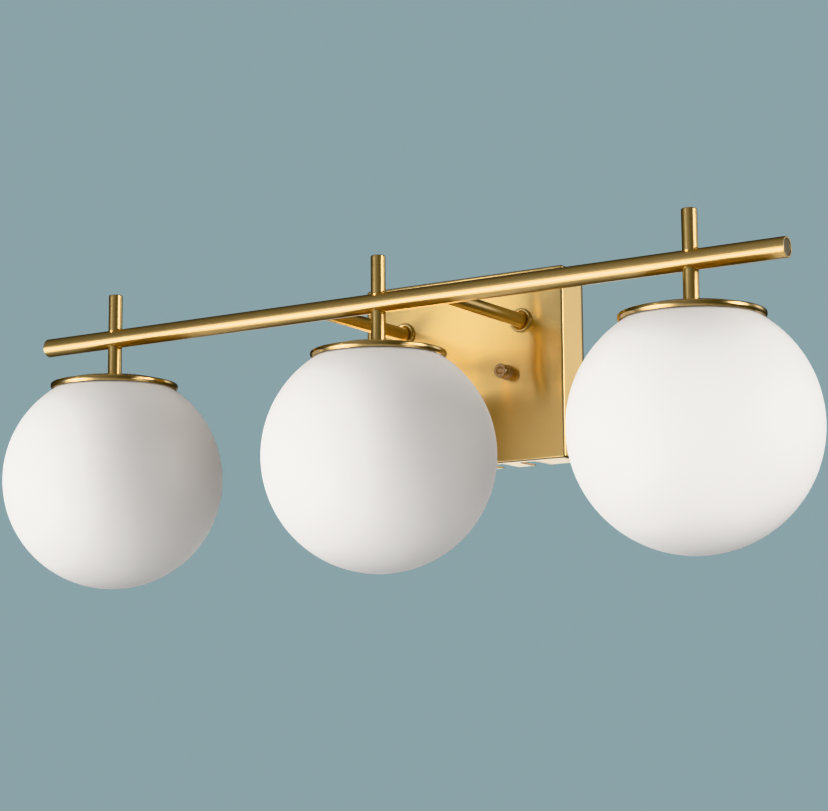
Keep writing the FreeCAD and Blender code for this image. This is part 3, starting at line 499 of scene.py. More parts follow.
# ------------------------------------------------------------------ finishes

Colour = tuple[float, float, float]


@dataclass(frozen=True)
class Finish:
    """A finish: one material, made the first time that it is used."""

    name: str
    slot: str

    @cache
    def material(self) -> bpy.types.Material:
        """The finish's material."""
        made = bpy.data.materials.new(self.name)
        made.use_nodes = True
        bench = Bench(made.node_tree)
        shader = bench.node("BsdfPrincipled")
        bench.node("OutputMaterial", {"Surface": shader.outputs["BSDF"]})
        self.dress(bench, shader)
        return made

    def dress(self, bench: Bench, shader: bpy.types.Node) -> None:
        """Puts the finish's nodes round its shader."""
        raise NotImplementedError


def shaded(bench: Bench, colour: Colour, shade: object) -> bpy.types.NodeSocket:
    """A colour made lighter or darker by a shade about 0.

    Args:
        bench: the material's bench.
        colour: the plain colour.
        shade: how much lighter, as a share, or darker where negative.

    Returns:
        The colour socket.
    """
    factor = bench.math("ADD", shade, 1.0)
    grey = bench.node("CombineColor", {0: factor, 1: factor, 2: factor}).outputs[0]
    return bench.node("Mix", {0: 1.0, 6: (*colour, 1.0), 7: grey}, data_type="RGBA",
                      blend_type="MULTIPLY").outputs[2]


@dataclass(frozen=True)
class BrushedMetal(Finish):
    """Lacquered or plated metal that a brush or a lathe has left with fine lines."""

    colour: Colour = (0.85, 0.60, 0.26)
    rubbed: Colour = (0.96, 0.78, 0.48)
    brushing: Brushing = Brushing.AROUND
    roughness: float = 0.3
    roughness_spread: float = 0.16
    stretch: float = 0.5
    grain_shade: float = 0.22
    grain_depth: float = 0.000012
    drift: float = 0.10
    wear: float = 0.5
    wear_polish: float = 0.06
    broad: float = 22.0
    relief: float = 0.6
    coat: float = 0.0
    coat_roughness: float = 0.22

    def dress(self, bench: Bench, shader: bpy.types.Node) -> None:
        """Grain in colour, roughness and height, worn edges, and gloss stretched across it."""
        run = bench.node("Attribute", attribute_name="grain").outputs["Vector"]
        wear = bench.node("Attribute", attribute_name="wear").outputs["Fac"]
        place = bench.node("TexCoord").outputs["Object"]
        lines = bench.group(Effects.brushed_grain(), Run=run, Scale=self.brushing.scale)["Lines"]
        drift = bench.group(Effects.slow_tone(), Place=place, Broad_Scale=self.broad)["Drift"]
        worn = bench.group(Effects.edge_wear(), Wear=wear, Place=place, Amount=self.wear)["Mask"]
        shade = bench.math("MULTIPLY_ADD", lines, self.grain_shade,
                           bench.math("MULTIPLY", drift, self.drift))
        colour = bench.node("Mix", {0: worn, 6: shaded(bench, self.colour, shade),
                                    7: (*self.rubbed, 1.0)}, data_type="RGBA").outputs[2]
        rough = bench.math("MULTIPLY_ADD", lines, self.roughness_spread, self.roughness)
        rough = bench.math("MULTIPLY_ADD", worn, -self.wear_polish, rough)
        tangent = bench.node("Tangent", direction_type="UV_MAP", uv_map="run").outputs[0]
        bench.fill(shader, Base_Color=colour, Metallic=1.0, Roughness=rough, Tangent=tangent,
                   Anisotropic=self.stretch, Anisotropic_Rotation=self.brushing.gloss_turn,
                   Coat_Weight=self.coat, Coat_Roughness=self.coat_roughness)
        bench.bump(shader, lines, self.relief, self.grain_depth)


@dataclass(frozen=True)
class MottledFinish(Finish):
    """A finish whose colour drifts a little and whose gloss is speckled."""

    colour: Colour = (0.8, 0.8, 0.8)
    roughness: float = 0.4
    roughness_spread: float = 0.15
    drift: float = 0.06
    broad: float = 60.0
    fine: float = 1500.0
    tooth: float = 0.00002
    relief: float = 0.5

    def mottle(self, bench: Bench, shader: bpy.types.Node
               ) -> tuple[bpy.types.NodeSocket, bpy.types.NodeSocket]:
        """Dresses the shader's colour and roughness.

        Args:
            bench: the material's bench.
            shader: its shader.

        Returns:
            The place on the piece, and the speckle from 0 to 1.
        """
        place = bench.node("TexCoord").outputs["Object"]
        tone = bench.group(Effects.slow_tone(), Place=place, Broad_Scale=self.broad,
                           Fine_Scale=self.fine)
        shade = bench.math("MULTIPLY", tone["Drift"], self.drift)
        rough = bench.math("MULTIPLY_ADD", tone["Speckle"], self.roughness_spread,
                           self.roughness - self.roughness_spread / 2)
        bench.fill(shader, Base_Color=shaded(bench, self.colour, shade), Roughness=rough)
        return place, tone["Speckle"]


@dataclass(frozen=True)
class HardwareMetal(MottledFinish):
    """Plated hardware, with threads where it has them."""

    colour: Colour = (0.62, 0.63, 0.62)
    roughness: float = 0.36
    roughness_spread: float = 0.2
    drift: float = 0.35
    broad: float = 160.0
    fine: float = 1800.0
    relief: float = 0.7
    thread: Optional[tuple[float, float, float]] = None
    pitch: float = 0.0008
    thread_depth: float = 0.8

    def dress(self, bench: Bench, shader: bpy.types.Node) -> None:
        """Mottled plating, and thread ridges as height."""
        place, height = self.mottle(bench, shader)
        depth = self.tooth
        if self.thread:
            depth = self.pitch * self.thread_depth
            height = bench.group(Effects.thread_ridges(), Place=place, Along=self.thread,
                                 Pitch=self.pitch)["Height"]
        bench.fill(shader, Metallic=1.0)
        bench.bump(shader, height, self.relief, depth)


@dataclass(frozen=True)
class DiffusingGlass(MottledFinish):
    """White or frosted glass."""

    colour: Colour = (0.905, 0.88, 0.855)
    roughness: float = 0.5
    roughness_spread: float = 0.12
    drift: float = 0.02
    broad: float = 14.0
    fine: float = 2400.0
    relief: float = 0.35
    refraction: float = 1.48
    clear: float = 0.0

    def dress(self, bench: Bench, shader: bpy.types.Node) -> None:
        """A faint drift of the white, and the fine tooth of an etched face."""
        bench.fill(shader, IOR=self.refraction, Transmission_Weight=self.clear)
        bench.bump(shader, self.mottle(bench, shader)[1], self.relief, self.tooth)


@dataclass(frozen=True)
class SolidFinish(MottledFinish):
    """Porcelain, plastic, rubber or insulation of one colour right through."""

    glaze: float = 0.0
    glaze_roughness: float = 0.12

    def dress(self, bench: Bench, shader: bpy.types.Node) -> None:
        """A drift of the colour and a fine tooth, under a glaze where it has one."""
        bench.fill(shader, Coat_Weight=self.glaze, Coat_Roughness=self.glaze_roughness)
        bench.bump(shader, self.mottle(bench, shader)[1], self.relief, self.tooth)


SHEET_BRASS = BrushedMetal(
    "satin_brass_sheet", "satin_brass", brushing=Brushing.SHEET, roughness=0.17,
    roughness_spread=0.05, stretch=1.0, grain_shade=0.12, grain_depth=0.000004, coat=0.5)
DRAWN_BRASS = BrushedMetal("satin_brass_drawn", "satin_brass", roughness=0.3, stretch=0.25,
                           grain_shade=0.16, grain_depth=0.000002, coat=0.6)
SPUN_BRASS = BrushedMetal("satin_brass_spun", "satin_brass", roughness=0.2, stretch=0.3,
                          grain_depth=0.000003, coat=0.6)
FACED_BRASS = BrushedMetal("satin_brass_faced", "satin_brass", colour=(0.25, 0.21, 0.14),
                           rubbed=(0.9, 0.72, 0.42), roughness=0.36, stretch=0.3, grain_shade=0.3)
ANTIQUE_BRASS = BrushedMetal(
    "antique_brass", "antique_brass", colour=(0.62, 0.42, 0.25), rubbed=(0.95, 0.8, 0.6),
    roughness=0.2, roughness_spread=0.06, stretch=0.0, grain_shade=0.16, grain_depth=0.000004,
    wear=1.0)
TURNED_ALUMINIUM = BrushedMetal("spun_aluminium", "spun_aluminium", colour=(0.72, 0.72, 0.71),
                                rubbed=(0.9, 0.9, 0.89), roughness=0.34, grain_shade=0.3)
CONTACT_COLOUR = (0.76, 0.56, 0.24)
CONTACT_BRASS = BrushedMetal("contact_brass", "contact_brass", colour=CONTACT_COLOUR)
PLAIN_CONTACT = HardwareMetal("contact_strip", "contact_brass", colour=CONTACT_COLOUR,
                              roughness=0.32)
NICKEL = BrushedMetal("nickel_plate", "nickel", colour=(0.66, 0.63, 0.58),
                      rubbed=(0.85, 0.82, 0.76), roughness=0.22, stretch=0.2)
ZINC = HardwareMetal("zinc_plate", "zinc_steel")
ZINC_STUDS = HardwareMetal("zinc_thread_out", "zinc_steel", thread=(0.0, 1.0, 0.0))
ZINC_NIPPLES = HardwareMetal("zinc_thread_up", "zinc_steel", thread=(0.0, 0.0, 1.0), pitch=0.0009)
EARTH_SCREW = HardwareMetal("earth_green", "earth_green", colour=(0.05, 0.3, 0.1), roughness=0.42)
OPAL = DiffusingGlass("opal_glass", "opal_glass")
FROSTED = DiffusingGlass("frosted_glass", "frosted_glass", colour=(0.93, 0.93, 0.91),
                         roughness=0.55, clear=0.25)
PORCELAIN = SolidFinish("glazed_porcelain", "porcelain", colour=(0.84, 0.83, 0.78), roughness=0.3,
                        glaze=0.8, tooth=0.00001)
SILICONE = SolidFinish("silicone", "silicone", colour=(0.6, 0.6, 0.58), roughness=0.62)
LEAD_COVER = SolidFinish("lead_insulation", "lead_insulation", colour=(0.035, 0.035, 0.038),
                         roughness=0.42)
EARTH_COVER = SolidFinish("earth_insulation", "earth_insulation", colour=(0.02, 0.17, 0.04),
                          roughness=0.42)
CONNECTOR_SHELL = SolidFinish("connector_plastic", "connector_plastic", colour=(0.62, 0.12, 0.012))


# ------------------------------------------------------------------ pieces

def put(name: str, skins: Sequence[Skin], finish: Finish, body: str,
        nodes: Sequence[str]) -> bpy.types.Object:
    """Makes one piece of the model from its skins.

    Args:
        name: the piece's name.
        skins: its surfaces.
        finish: what it is made of.
        body: the CAD body that it rides on.
        nodes: the CAD nodes that it stands for.

    Returns:
        The new object.
    """
    mesh = bpy.data.meshes.new(name)
    starts = np.cumsum([0] + [len(skin.points) for skin in skins])
    faces = np.concatenate([skin.faces + start for skin, start in zip(skins, starts)])
    mesh.from_pydata(np.concatenate([skin.points for skin in skins]), [], faces.tolist())
    for label, kind, member in (("grain", "FLOAT_VECTOR", "vector"), ("wear", "FLOAT", "value")):
        values = np.concatenate([getattr(skin, label) for skin in skins]).astype(np.float32)
        mesh.attributes.new(label, kind, "POINT").data.foreach_set(member, values.ravel())
    places = np.concatenate([skin.uv for skin in skins]).astype(np.float32)
    mesh.uv_layers.new(name="run").uv.foreach_set("vector", places.ravel())
    work = bmesh.new()
    work.from_mesh(mesh)
    bmesh.ops.remove_doubles(work, verts=work.verts, dist=WELD)
    bmesh.ops.dissolve_degenerate(work, edges=work.edges, dist=WELD / 10)
    bmesh.ops.recalc_face_normals(work, faces=work.faces)
    work.to_mesh(mesh)
    work.free()
    mesh.polygons.foreach_set("use_smooth", np.ones(len(mesh.polygons), bool))
    mesh.materials.append(finish.material())
    piece = bpy.data.objects.new(name, mesh)
    bpy.context.scene.collection.objects.link(piece)
    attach(piece, body)
    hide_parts(*nodes)
    LOG.info("%s: %d faces in %s", name, len(mesh.polygons), finish.name)
    return piece


def middle(node: str) -> Vector:
    """The middle of a CAD node's box."""
    low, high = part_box(node)
    return (Vector(low) + Vector(high)) / 2


def faced(section: Profile, node: str, columns: int, ring: bool = True) -> Skin:
    """Turns a section about a CAD node's axis, from the wall side towards the room.

    Args:
        section: radius, and height towards the room.
        node: the CAD node.
        columns: number of steps around.
        ring: whether the section is a closed ring.

    Returns:
        The turned skin.
    """
    centre = middle(node)
    return turned(section, (centre.x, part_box(node)[1][1], centre.z), Heading.ROOM, columns, ring)


def girth(node: str) -> tuple[float, float]:
    """The radius and the length of a CAD node whose axis points into the room."""
    low, high = map(Vector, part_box(node))
    return (high.x - low.x) / 2, high.y - low.y


@dataclass
class CanopyPan:
    """The square pan folded from brushed sheet, open at the wall, with vents in its bottom wall."""

    sheet: float = 1.0 * MM
    bend: float = 1.6 * MM
    vent_places: tuple[float, ...] = (-45.8 * MM, -21.0 * MM, 21.0 * MM, 45.8 * MM)
    vent_width: float = 11.2 * MM
    vent_strip: float = 7.0 * MM
    bend_steps: int = 10
    wall_steps: int = 7
    vent_steps: int = 4
    side_points: int = 25
    top_points: int = 33
    face_rings: tuple[float, ...] = (0.004, 0.05, 0.2, 0.4, 0.6, 0.8, 1.0)
    edge_round: float = 0.12 * MM
    edge_angle: float = 50.0
    unfolded_scale: float = 4.0

    def perimeter(self, half_width: float, half_height: float) -> tuple[Array, Array, Array]:
        """Walks round the pan's outline, anticlockwise from the bottom left corner.

        Each side is a straight run along the core rectangle, and each corner a quarter turn of the
        normal at one of its corners. A point of the pan is core + reach normal.

        Args:
            half_width: half the core rectangle's width.
            half_height: half its height.

        Returns:
            The core points, their outward normals, and which columns of faces are cut by a vent.
        """
        edges = np.sort(np.concatenate([np.array(self.vent_places) - self.vent_width / 2,
                                        np.array(self.vent_places) + self.vent_width / 2]))
        stops = np.concatenate([[-half_width], edges, [half_width]])
        fine = np.linspace(0.0, 1.0, self.vent_steps + 1)[:-1]
        low = (stops[:-1, None] + fine * np.diff(stops)[:, None]).ravel()
        low = np.append(low, half_width)
        side = np.linspace(-half_height, half_height, self.side_points)
        top = np.linspace(half_width, -half_width, self.top_points)
        turn = np.linspace(0.0, np.pi / 2, self.bend_steps + 1)[1:-1]
        core, normal = [], []
        runs = ((np.stack([low, np.full_like(low, -half_height)], 1), (0.0, -1.0)),
                (np.stack([np.full_like(side, half_width), side], 1), (1.0, 0.0)),
                (np.stack([top, np.full_like(top, half_height)], 1), (0.0, 1.0)),
                (np.stack([np.full_like(side, -half_width), -side], 1), (-1.0, 0.0)))
        for points, facing in runs:
            core.append(points)
            normal.append(np.broadcast_to(facing, points.shape))
            start = math.atan2(facing[1], facing[0])
            core.append(np.broadcast_to(points[-1], (len(turn), 2)))
            normal.append(np.stack([np.cos(start + turn), np.sin(start + turn)], 1))
        cut = np.zeros(sum(len(part) for part in core), bool)
        centre = (low[:-1] + low[1:]) / 2
        inside = np.abs(centre[:, None] - np.array(self.vent_places)) < self.vent_width / 2
        cut[:len(centre)] = inside.any(axis=1)
        return np.concatenate(core), np.concatenate(normal), cut

    def skin(self, low: Vector, high: Vector) -> Skin:
        """The pan's outer surface.

        Rows run from the wall along the sides, round the bend and over the face to its middle. At
        angle b of the bend the reach is bend cos b and the depth is bend (1 - sin b), so a corner
        where three bends meet is part of a ball.

        Args:
            low: the pan's lowest corner.
            high: its highest corner.

        Returns:
            The open skin.
        """
        centre = (low + high) / 2
        half = (high - low) / 2
        core, normal, cut = self.perimeter(half.x - self.bend, half.z - self.bend)
        strip = low.y + self.vent_strip
        depths = np.concatenate([np.linspace(high.y, strip, self.wall_steps + 1),
                                 np.linspace(strip, low.y + self.bend, 6)[1:]])
        bend = np.linspace(0.0, np.pi / 2, self.bend_steps + 1)[1:]
        shrink = np.array(self.face_rings)
        reach = np.concatenate([np.full(len(depths), self.bend), self.bend * np.cos(bend),
                                np.zeros(len(shrink))])
        y = np.concatenate([depths, low.y + self.bend * (1 - np.sin(bend)),
                            np.full(len(shrink), low.y)])
        scale = np.concatenate([np.ones(len(depths) + len(bend)), 1 - shrink])
        flat = core * scale[:, None, None] + normal * reach[:, None, None]
        depth = np.broadcast_to(y[:, None], flat.shape[:2])
        points = np.stack([centre.x + flat[..., 0], depth, centre.z + flat[..., 1]], axis=-1)
        back = np.broadcast_to((y - low.y)[:, None, None], flat.shape)
        unfolded = flat + normal * back
        grain = np.stack([unfolded[..., 0], np.zeros(flat.shape[:2]), unfolded[..., 1]], axis=-1)
        lift = np.concatenate([np.zeros(len(depths)), np.sin(2 * bend) ** 2,
                               np.zeros(len(shrink))])
        wear = np.broadcast_to(lift[:, None], flat.shape[:2])
        keep = np.ones((len(y) - 1, len(core)), bool)
        keep[:self.wall_steps] = ~cut
        skin = Skin.from_grid(points, grain, wear, np.zeros(len(core) + 1), np.zeros(len(y)),
                              keep=keep)
        skin.uv = grain.reshape(-1, 3)[skin.faces.ravel()][:, (0, 2)] * self.unfolded_scale + 0.5
        return skin

    def build(self) -> None:
        """Builds the pan and gives it its sheet thickness and small edges."""
        low, high = map(Vector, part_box("canopy_pan"))
        skin = self.skin(low, high)
        piece = put("canopy_brass_pan", [skin], SHEET_BRASS, FIXTURE, ["canopy_pan"])
        wall = piece.modifiers.new("sheet", "SOLIDIFY")
        wall.thickness, wall.offset = self.sheet, -1.0
        wall.use_even_offset = wall.use_rim = True
        edge = piece.modifiers.new("edges", "BEVEL")
        edge.width, edge.segments, edge.limit_method = self.edge_round, 2, "ANGLE"
        edge.angle_limit, edge.use_clamp_overlap = math.radians(self.edge_angle), False


@dataclass
class MainBar:
    """The long tube with a plug in each end."""

    wall: float = 1.0 * MM
    edge_round: float = 0.35 * MM
    plug_clearance: float = 0.05 * MM
    plug_length: float = 9.0 * MM
    plug_crown: float = 0.5 * MM
    crown_share: float = 0.72

    @property
    def radius(self) -> float:
        """The bar's outside radius."""
        low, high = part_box("main_bar")
        return (high[2] - low[2]) / 2

    def build(self) -> None:
        """Builds the tube and its two plugs."""
        low, high = map(Vector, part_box("main_bar"))
        centre, outer, inner = (low + high) / 2, self.radius, self.radius - self.wall
        length = high.x - low.x
        section = Profile.softened(((inner, 0.0), (outer, 0.0), (outer, length), (inner, length)),
                                   (0.1 * MM, self.edge_round, self.edge_round, 0.1 * MM),
                                   ring=True)
        tube = turned(section, (low.x, centre.y, centre.z), Heading.RIGHT, ring=True)
        put("brass_bar_tube", [tube], DRAWN_BRASS, FIXTURE, ["main_bar"])
        size, top = inner - self.plug_clearance, self.plug_length
        plug = Profile.softened(((0.0, 0.0), (size, 0.0), (size, top - 0.35 * self.plug_crown),
                                 (size * self.crown_share, top), (0.0, top)),
                                (0.0, 0.1 * MM, 0.3 * MM, 2.0 * MM, 0.0))
        skins = [turned(plug, (end, centre.y, centre.z), heading, 64)
                 for end, heading in ((low.x + top, Heading.LEFT), (high.x - top, Heading.RIGHT))]
        put("brass_bar_plugs", skins, FACED_BRASS, FIXTURE, ["bar_end_plugs"])


@dataclass
class Arm:
    """One straight arm from the canopy to the bar, with the dished collar at its foot."""

    side: Side
    bar_radius: float
    collar_rim: float = 0.7 * MM
    collar_land: float = 0.9 * MM
    collar_bore: float = 0.7 * MM
    sink: float = 0.05 * MM

    def build(self) -> None:
        """Builds the arm's tube, fitted to the bar, and its collar."""
        node = "arm_" + self.side.label
        bar = middle("main_bar")
        radius = girth(node)[0]
        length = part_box(node)[1][1] - bar.y
        section = Profile.softened(((0.0, 0.0), (radius, 0.0), (radius, length), (0.0, length)),
                                   (0.0, 0.25 * MM, HAIR, 0.0)).finer(4 * MM)
        tube = saddled(faced(section, node, 72, False), 1, 2, (bar.y, bar.z),
                       self.bar_radius - self.sink, 1)
        put("brass_arm_tube_" + self.side.label, [tube], DRAWN_BRASS, FIXTURE, [node])
        self.build_collar(radius)

    def build_collar(self, arm_radius: float) -> None:
        """Builds the dished collar.

        Args:
            arm_radius: the radius of the arm that stands in the dish.
        """
        node = "arm_collar_" + self.side.label
        size, height = girth(node)
        bore, rim = arm_radius - self.collar_bore, size - self.collar_rim
        section = Profile.softened((
            (bore, 0.0), (size, 0.0), (size, height * 0.55), (rim, height),
            (rim - self.collar_land, height), (arm_radius + 0.3 * MM, height * 0.6),
            (bore, height * 0.6)),
            (CRISP, 0.15 * MM, 0.5 * MM, 0.25 * MM, 0.25 * MM, 0.3 * MM, CRISP), ring=True)
        put("brass_arm_collar_" + self.side.label, [faced(section, node, 80)], SPUN_BRASS, FIXTURE,
            [node])


@dataclass
class Finial:
    """One turned finial nut with its washer."""

    side: Side
    step: float = 0.7 * MM
    foot: float = 1.1 * MM
    groove: float = 0.9 * MM
    bead: float = 0.9 * MM
    slope: float = 0.3 * MM
    dish: float = 0.25 * MM
    bore: float = 2.15 * MM
    nut_depth: float = 6.2 * MM

    def build(self) -> None:
        """Builds the nut and the washer on their own bodies."""
        self.build_nut()
        node = "finial_washer_" + self.side.label
        size, height = girth(node)
        section = Profile.softened(((self.bore, 0.0), (size, 0.0), (size, height),
                                    (self.bore, height)),
                                   (CRISP, 0.15 * MM, 0.3 * MM, CRISP), ring=True)
        put("finial_washer_turned_" + self.side.label, [faced(section, node, 64)], ANTIQUE_BRASS,
            "washer_" + self.side.label, [node])

    def build_nut(self) -> None:
        """Builds the nut: a foot, two grooves with a bead between them, and a dished head."""
        node = "finial_nut_" + self.side.label
        size, top = girth(node)
        waist = size - self.step
        first = self.foot + self.slope
        bead = first + self.groove + self.slope
        second = bead + self.bead + self.slope
        head = second + self.groove + self.slope
        corners = ((self.bore, 0.0), (size, 0.0), (size, self.foot), (waist, first),
                   (waist, first + self.groove), (size, bead), (size, bead + self.bead),
                   (waist, second), (waist, second + self.groove), (size, head),
                   (size, top - 0.5 * MM), (size - 0.6 * MM, top), (size * 0.62, top),
                   (size * 0.3, top - self.dish), (0.0, top - self.dish))
        outside = Profile.softened(corners, (0.0, *[0.18 * MM] * 9, 0.5 * MM, 0.5 * MM, 0.6 * MM,
                                             1.2 * MM, 0.0), steps=4)
        inside = Profile.softened(((0.0, self.nut_depth), (self.bore, self.nut_depth),
                                   (self.bore, 0.0)), 0.1 * MM)
        skins = [faced(section, node, 64, False) for section in (outside, inside)]
        put("finial_nut_turned_" + self.side.label, skins, ANTIQUE_BRASS,
            "finial_" + self.side.label, [node])


@dataclass
class Lamp:
    """One hanging lamp: stub, stem, shade cap, fitter, holder, bulb and globe."""

    place: LampPlace
    bar_radius: float
    glass_wall: float = 3.0 * MM
    mouth_radius: float = 29.9 * MM
    sink: float = 0.05 * MM
    cap_sheet: float = 1.0 * MM
    cap_rim: float = 4.2 * MM
    cap_flat: float = 28.5 * MM
    cap_swell: float = 0.35 * MM
    cap_shoulder: float = 1.9 * MM
    cap_hem: float = 1.5 * MM
    nipple_hole: float = 4.15 * MM
    collar_wall: float = 1.5 * MM
    collar_sheet: float = 0.8 * MM
    fitter_sheet: float = 1.0 * MM
    lip_angle: float = 0.02
    holder_cavity: float = 14.1 * MM
    holder_chamber: float = 15.0 * MM
    holder_roof: float = 3.0 * MM
    web_drop: float = 9.0 * MM
    web: float = 2.6 * MM
    shell_sheet: float = 0.5 * MM
    shell_hole: float = 8.8 * MM
    bulb_neck: float = 12.4 * MM
    bulb_tip: float = 4.5 * MM
    thread_ridges: int = 5

    def named(self, stem: str) -> str:
        """A node or piece name with this lamp's word at its end."""
        return stem + "_" + self.place.value

    def ends(self, stem: str) -> tuple[Vector, Vector, Vector, float]:
        """A node's middle, lowest and highest corners, and its radius about the upright axis."""
        low, high = map(Vector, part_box(self.named(stem)))
        return (low + high) / 2, low, high, (high.x - low.x) / 2

    def build(self) -> None:
        """Builds the lamp from the top down."""
        self.build_stems()
        self.build_cap()
        self.build_fitter()
        self.build_holder()
        self.build_bulb()
        self.build_globe()

    def spin(self, piece: str, node: str, section: Profile, finish: Finish, columns: int,
             ring: bool = True, body: str = FIXTURE) -> None:
        """Turns a section about the lamp's upright axis and puts it in as a piece.

        Args:
            piece: the piece's name, without the lamp's word.
            node: the CAD node that it stands for, without the lamp's word.
            section: radius, and height above the frame's origin.
            finish: what it is made of.
            columns: number of steps around.
            ring: whether the section is a closed ring.
            body: the CAD body that it rides on.
        """
        centre = self.ends(node)[0]
        skin = turned(section, (centre.x, centre.y, 0.0), columns=columns, ring=ring)
        put(self.named(piece), [skin], finish, body, [self.named(node)])

    def build_stems(self) -> None:
        """Builds the stub above the bar and the stem below it, both fitted to the bar."""
        bar = middle("main_bar")
        for node, piece, sign, edges in (("upper_stub", "brass_stub", 1, (HAIR, 0.75 * MM)),
                                         ("lower_stem", "brass_stem", -1, (0.2 * MM, HAIR))):
            centre, low, high, radius = self.ends(node)
            foot, top = (bar.z, high.z) if sign > 0 else (low.z, bar.z)
            section = Profile.softened(((0.0, foot), (radius, foot), (radius, top), (0.0, top)),
                                       (0.0, *edges, 0.0)).finer(2 * MM)
            tube = saddled(turned(section, (centre.x, centre.y, 0.0), columns=72), 2, 1,
                           (bar.z, bar.y), self.bar_radius - self.sink, sign)
            put(self.named(piece), [tube], DRAWN_BRASS, FIXTURE, [self.named(node)])

    def build_cap(self) -> None:
        """Builds the spun cap, whose shoulder swells between its flat middle and its rim."""
        _, low, high, radius = self.ends("shade_cap")
        rim, sheet = low.z + self.cap_rim, self.cap_sheet
        way = np.linspace(0.0, 1.0, 15)
        swell = self.cap_swell * np.sin(np.pi * way) * (1 - way)
        drop = (rim - 0.2 * MM - high.z) * way ** 1.15
        outer = Profile.curve(self.cap_flat + (radius - 2.4 * MM - self.cap_flat) * way,
                              high.z + drop + swell)
        lip = Profile.softened((outer.points[-1], (radius, rim - 0.5 * MM),
                                (radius, low.z + self.cap_hem), (radius - 0.8 * sheet, low.z),
                                (radius - sheet, low.z), (radius - sheet, rim - sheet)),
                               (0.0, self.cap_shoulder, 2.2 * MM, CRISP, CRISP, 0.0), steps=9)
        under = Profile.curve(radius - sheet + (self.cap_flat - radius + sheet) * way,
                              rim - sheet + (high.z - rim) * way)
        hub = Profile.line(((self.nipple_hole, high.z - sheet), (self.nipple_hole, high.z)))
        self.spin("brass_shade_cap", "shade_cap", hub.then(outer).then(lip).then(under),
                  SPUN_BRASS, 144)

    def build_fitter(self) -> None:
        """Builds the fitter ring, with the turned threads that its globe screws onto."""
        _, low, high, radius = self.ends("fitter")
        sheet, way = self.fitter_sheet, np.linspace(0.0, 1.0, 49)
        ridge = 0.12 * MM * (1 + np.cos(2 * np.pi * way * self.thread_ridges))
        wall = Profile.curve(radius - 0.24 * MM + ridge,
                             low.z + 0.6 * MM + (high.z - low.z - 2.4 * MM) * way)
        inside = Profile.line(((radius - sheet, high.z - sheet), (radius - sheet, low.z),
                               (radius - 0.2 * MM, low.z)))
        top = Profile.softened((wall.points[-1], (radius, high.z - 0.9 * MM), (radius, high.z),
                                (self.nipple_hole, high.z), (self.nipple_hole, high.z - sheet)),
                               (0.0, 0.1 * MM, 0.3 * MM, CRISP, 0.0))
        self.spin("aluminium_fitter", "fitter", inside.then(wall).then(top), TURNED_ALUMINIUM, 112)

    def build_holder(self) -> None:
        """Builds the porcelain holder, glazed round at its edges, and its screw shell."""
        _, low, high, radius = self.ends("lampholder")
        cavity, chamber, hole = self.holder_cavity, self.holder_chamber, self.nipple_hole
        roof = high.z - self.holder_roof
        web_top, web_low = roof - self.web_drop, roof - self.web_drop - self.web
        start = low.z + 6 * MM
        outside = Profile.softened(((cavity, start), (cavity, low.z), (radius, low.z),
                                    (radius, high.z - 2.5 * MM), (radius - 2.5 * MM, high.z),
                                    (hole, high.z), (hole, roof), (chamber, roof),
                                    (chamber, web_top), (0.0, web_top)),
                                   (0.0, 0.8 * MM, 1.2 * MM, 1.5 * MM, 1.5 * MM, 0.4 * MM, 0.4 * MM,
                                    0.5 * MM, 0.5 * MM, 0.0))
        cup = Profile.softened(((0.0, web_low), (cavity, web_low), (cavity, start)),
                               (0.0, 0.5 * MM, 0.0))
        self.spin("porcelain_holder", "lampholder", cup.then(outside), PORCELAIN, 80, False)
        _, low, high, radius = self.ends("screw_shell")
        sheet, way = self.shell_sheet, np.linspace(0.0, 1.0, 61)
        wave = 0.1 * MM * np.cos(2 * np.pi * way * 6)
        rise = low.z + (high.z - low.z - sheet) * way
        outer = Profile.curve(radius - 0.1 * MM + wave, rise)
        inner = Profile.curve((radius - sheet + wave * 0.6)[::-1], rise[::-1])
        lid = Profile.line(((self.shell_hole, high.z), (self.shell_hole, high.z - sheet)))
        self.spin("brass_screw_shell", "screw_shell", outer.then(lid).then(inner),
                  CONTACT_BRASS, 72)

    def build_bulb(self) -> None:
        """Builds the bulb: a glass envelope in a base with rolled threads."""
        body = self.named("lamp")
        _, low, high, radius = self.ends("lamp_glass")
        ball = Profile.arc(radius, low.z + radius, math.pi, math.radians(62), 48)
        wide, start = ball.points[-1]
        way = np.linspace(0.0, 1.0, 17)[1:]
        ease = way ** 2 * (3 - 2 * way)
        drop = Profile.curve(wide + (self.bulb_neck - wide) * (way * 0.45 + ease * 0.55),
                             start + (high.z - start) * way)
        envelope = ball.then(drop).then(Profile.line(((0.0, high.z),)))
        self.spin("frosted_bulb", "lamp_glass", envelope, FROSTED, 80, False, body)
        _, low, high, radius = self.ends("lamp_base")
        height, tip = high.z - low.z - 2.5 * MM, self.bulb_tip
        rolled = np.linspace(0.0, 1.0, 71)
        ridge = 0.45 * MM * np.cos(2 * np.pi * (rolled * self.thread_ridges - 0.5))
        thread = Profile.curve(radius - 0.45 * MM + ridge, low.z + height * (0.06 + 0.86 * rolled))
        foot = Profile.softened(((0.0, low.z), (radius - 1.6 * MM, low.z), thread.points[0]),
                                (0.0, 0.4 * MM, 0.0))
        cap = Profile.softened((thread.points[-1], (radius - 1.0 * MM, low.z + height),
                                (tip, low.z + height + 1.5 * MM), (tip, high.z), (0.0, high.z)),
                               (0.0, 0.6 * MM, 0.5 * MM, 0.8 * MM, 0.0))
        self.spin("bulb_base", "lamp_base", foot.then(thread).then(cap), NICKEL, 72, False, body)

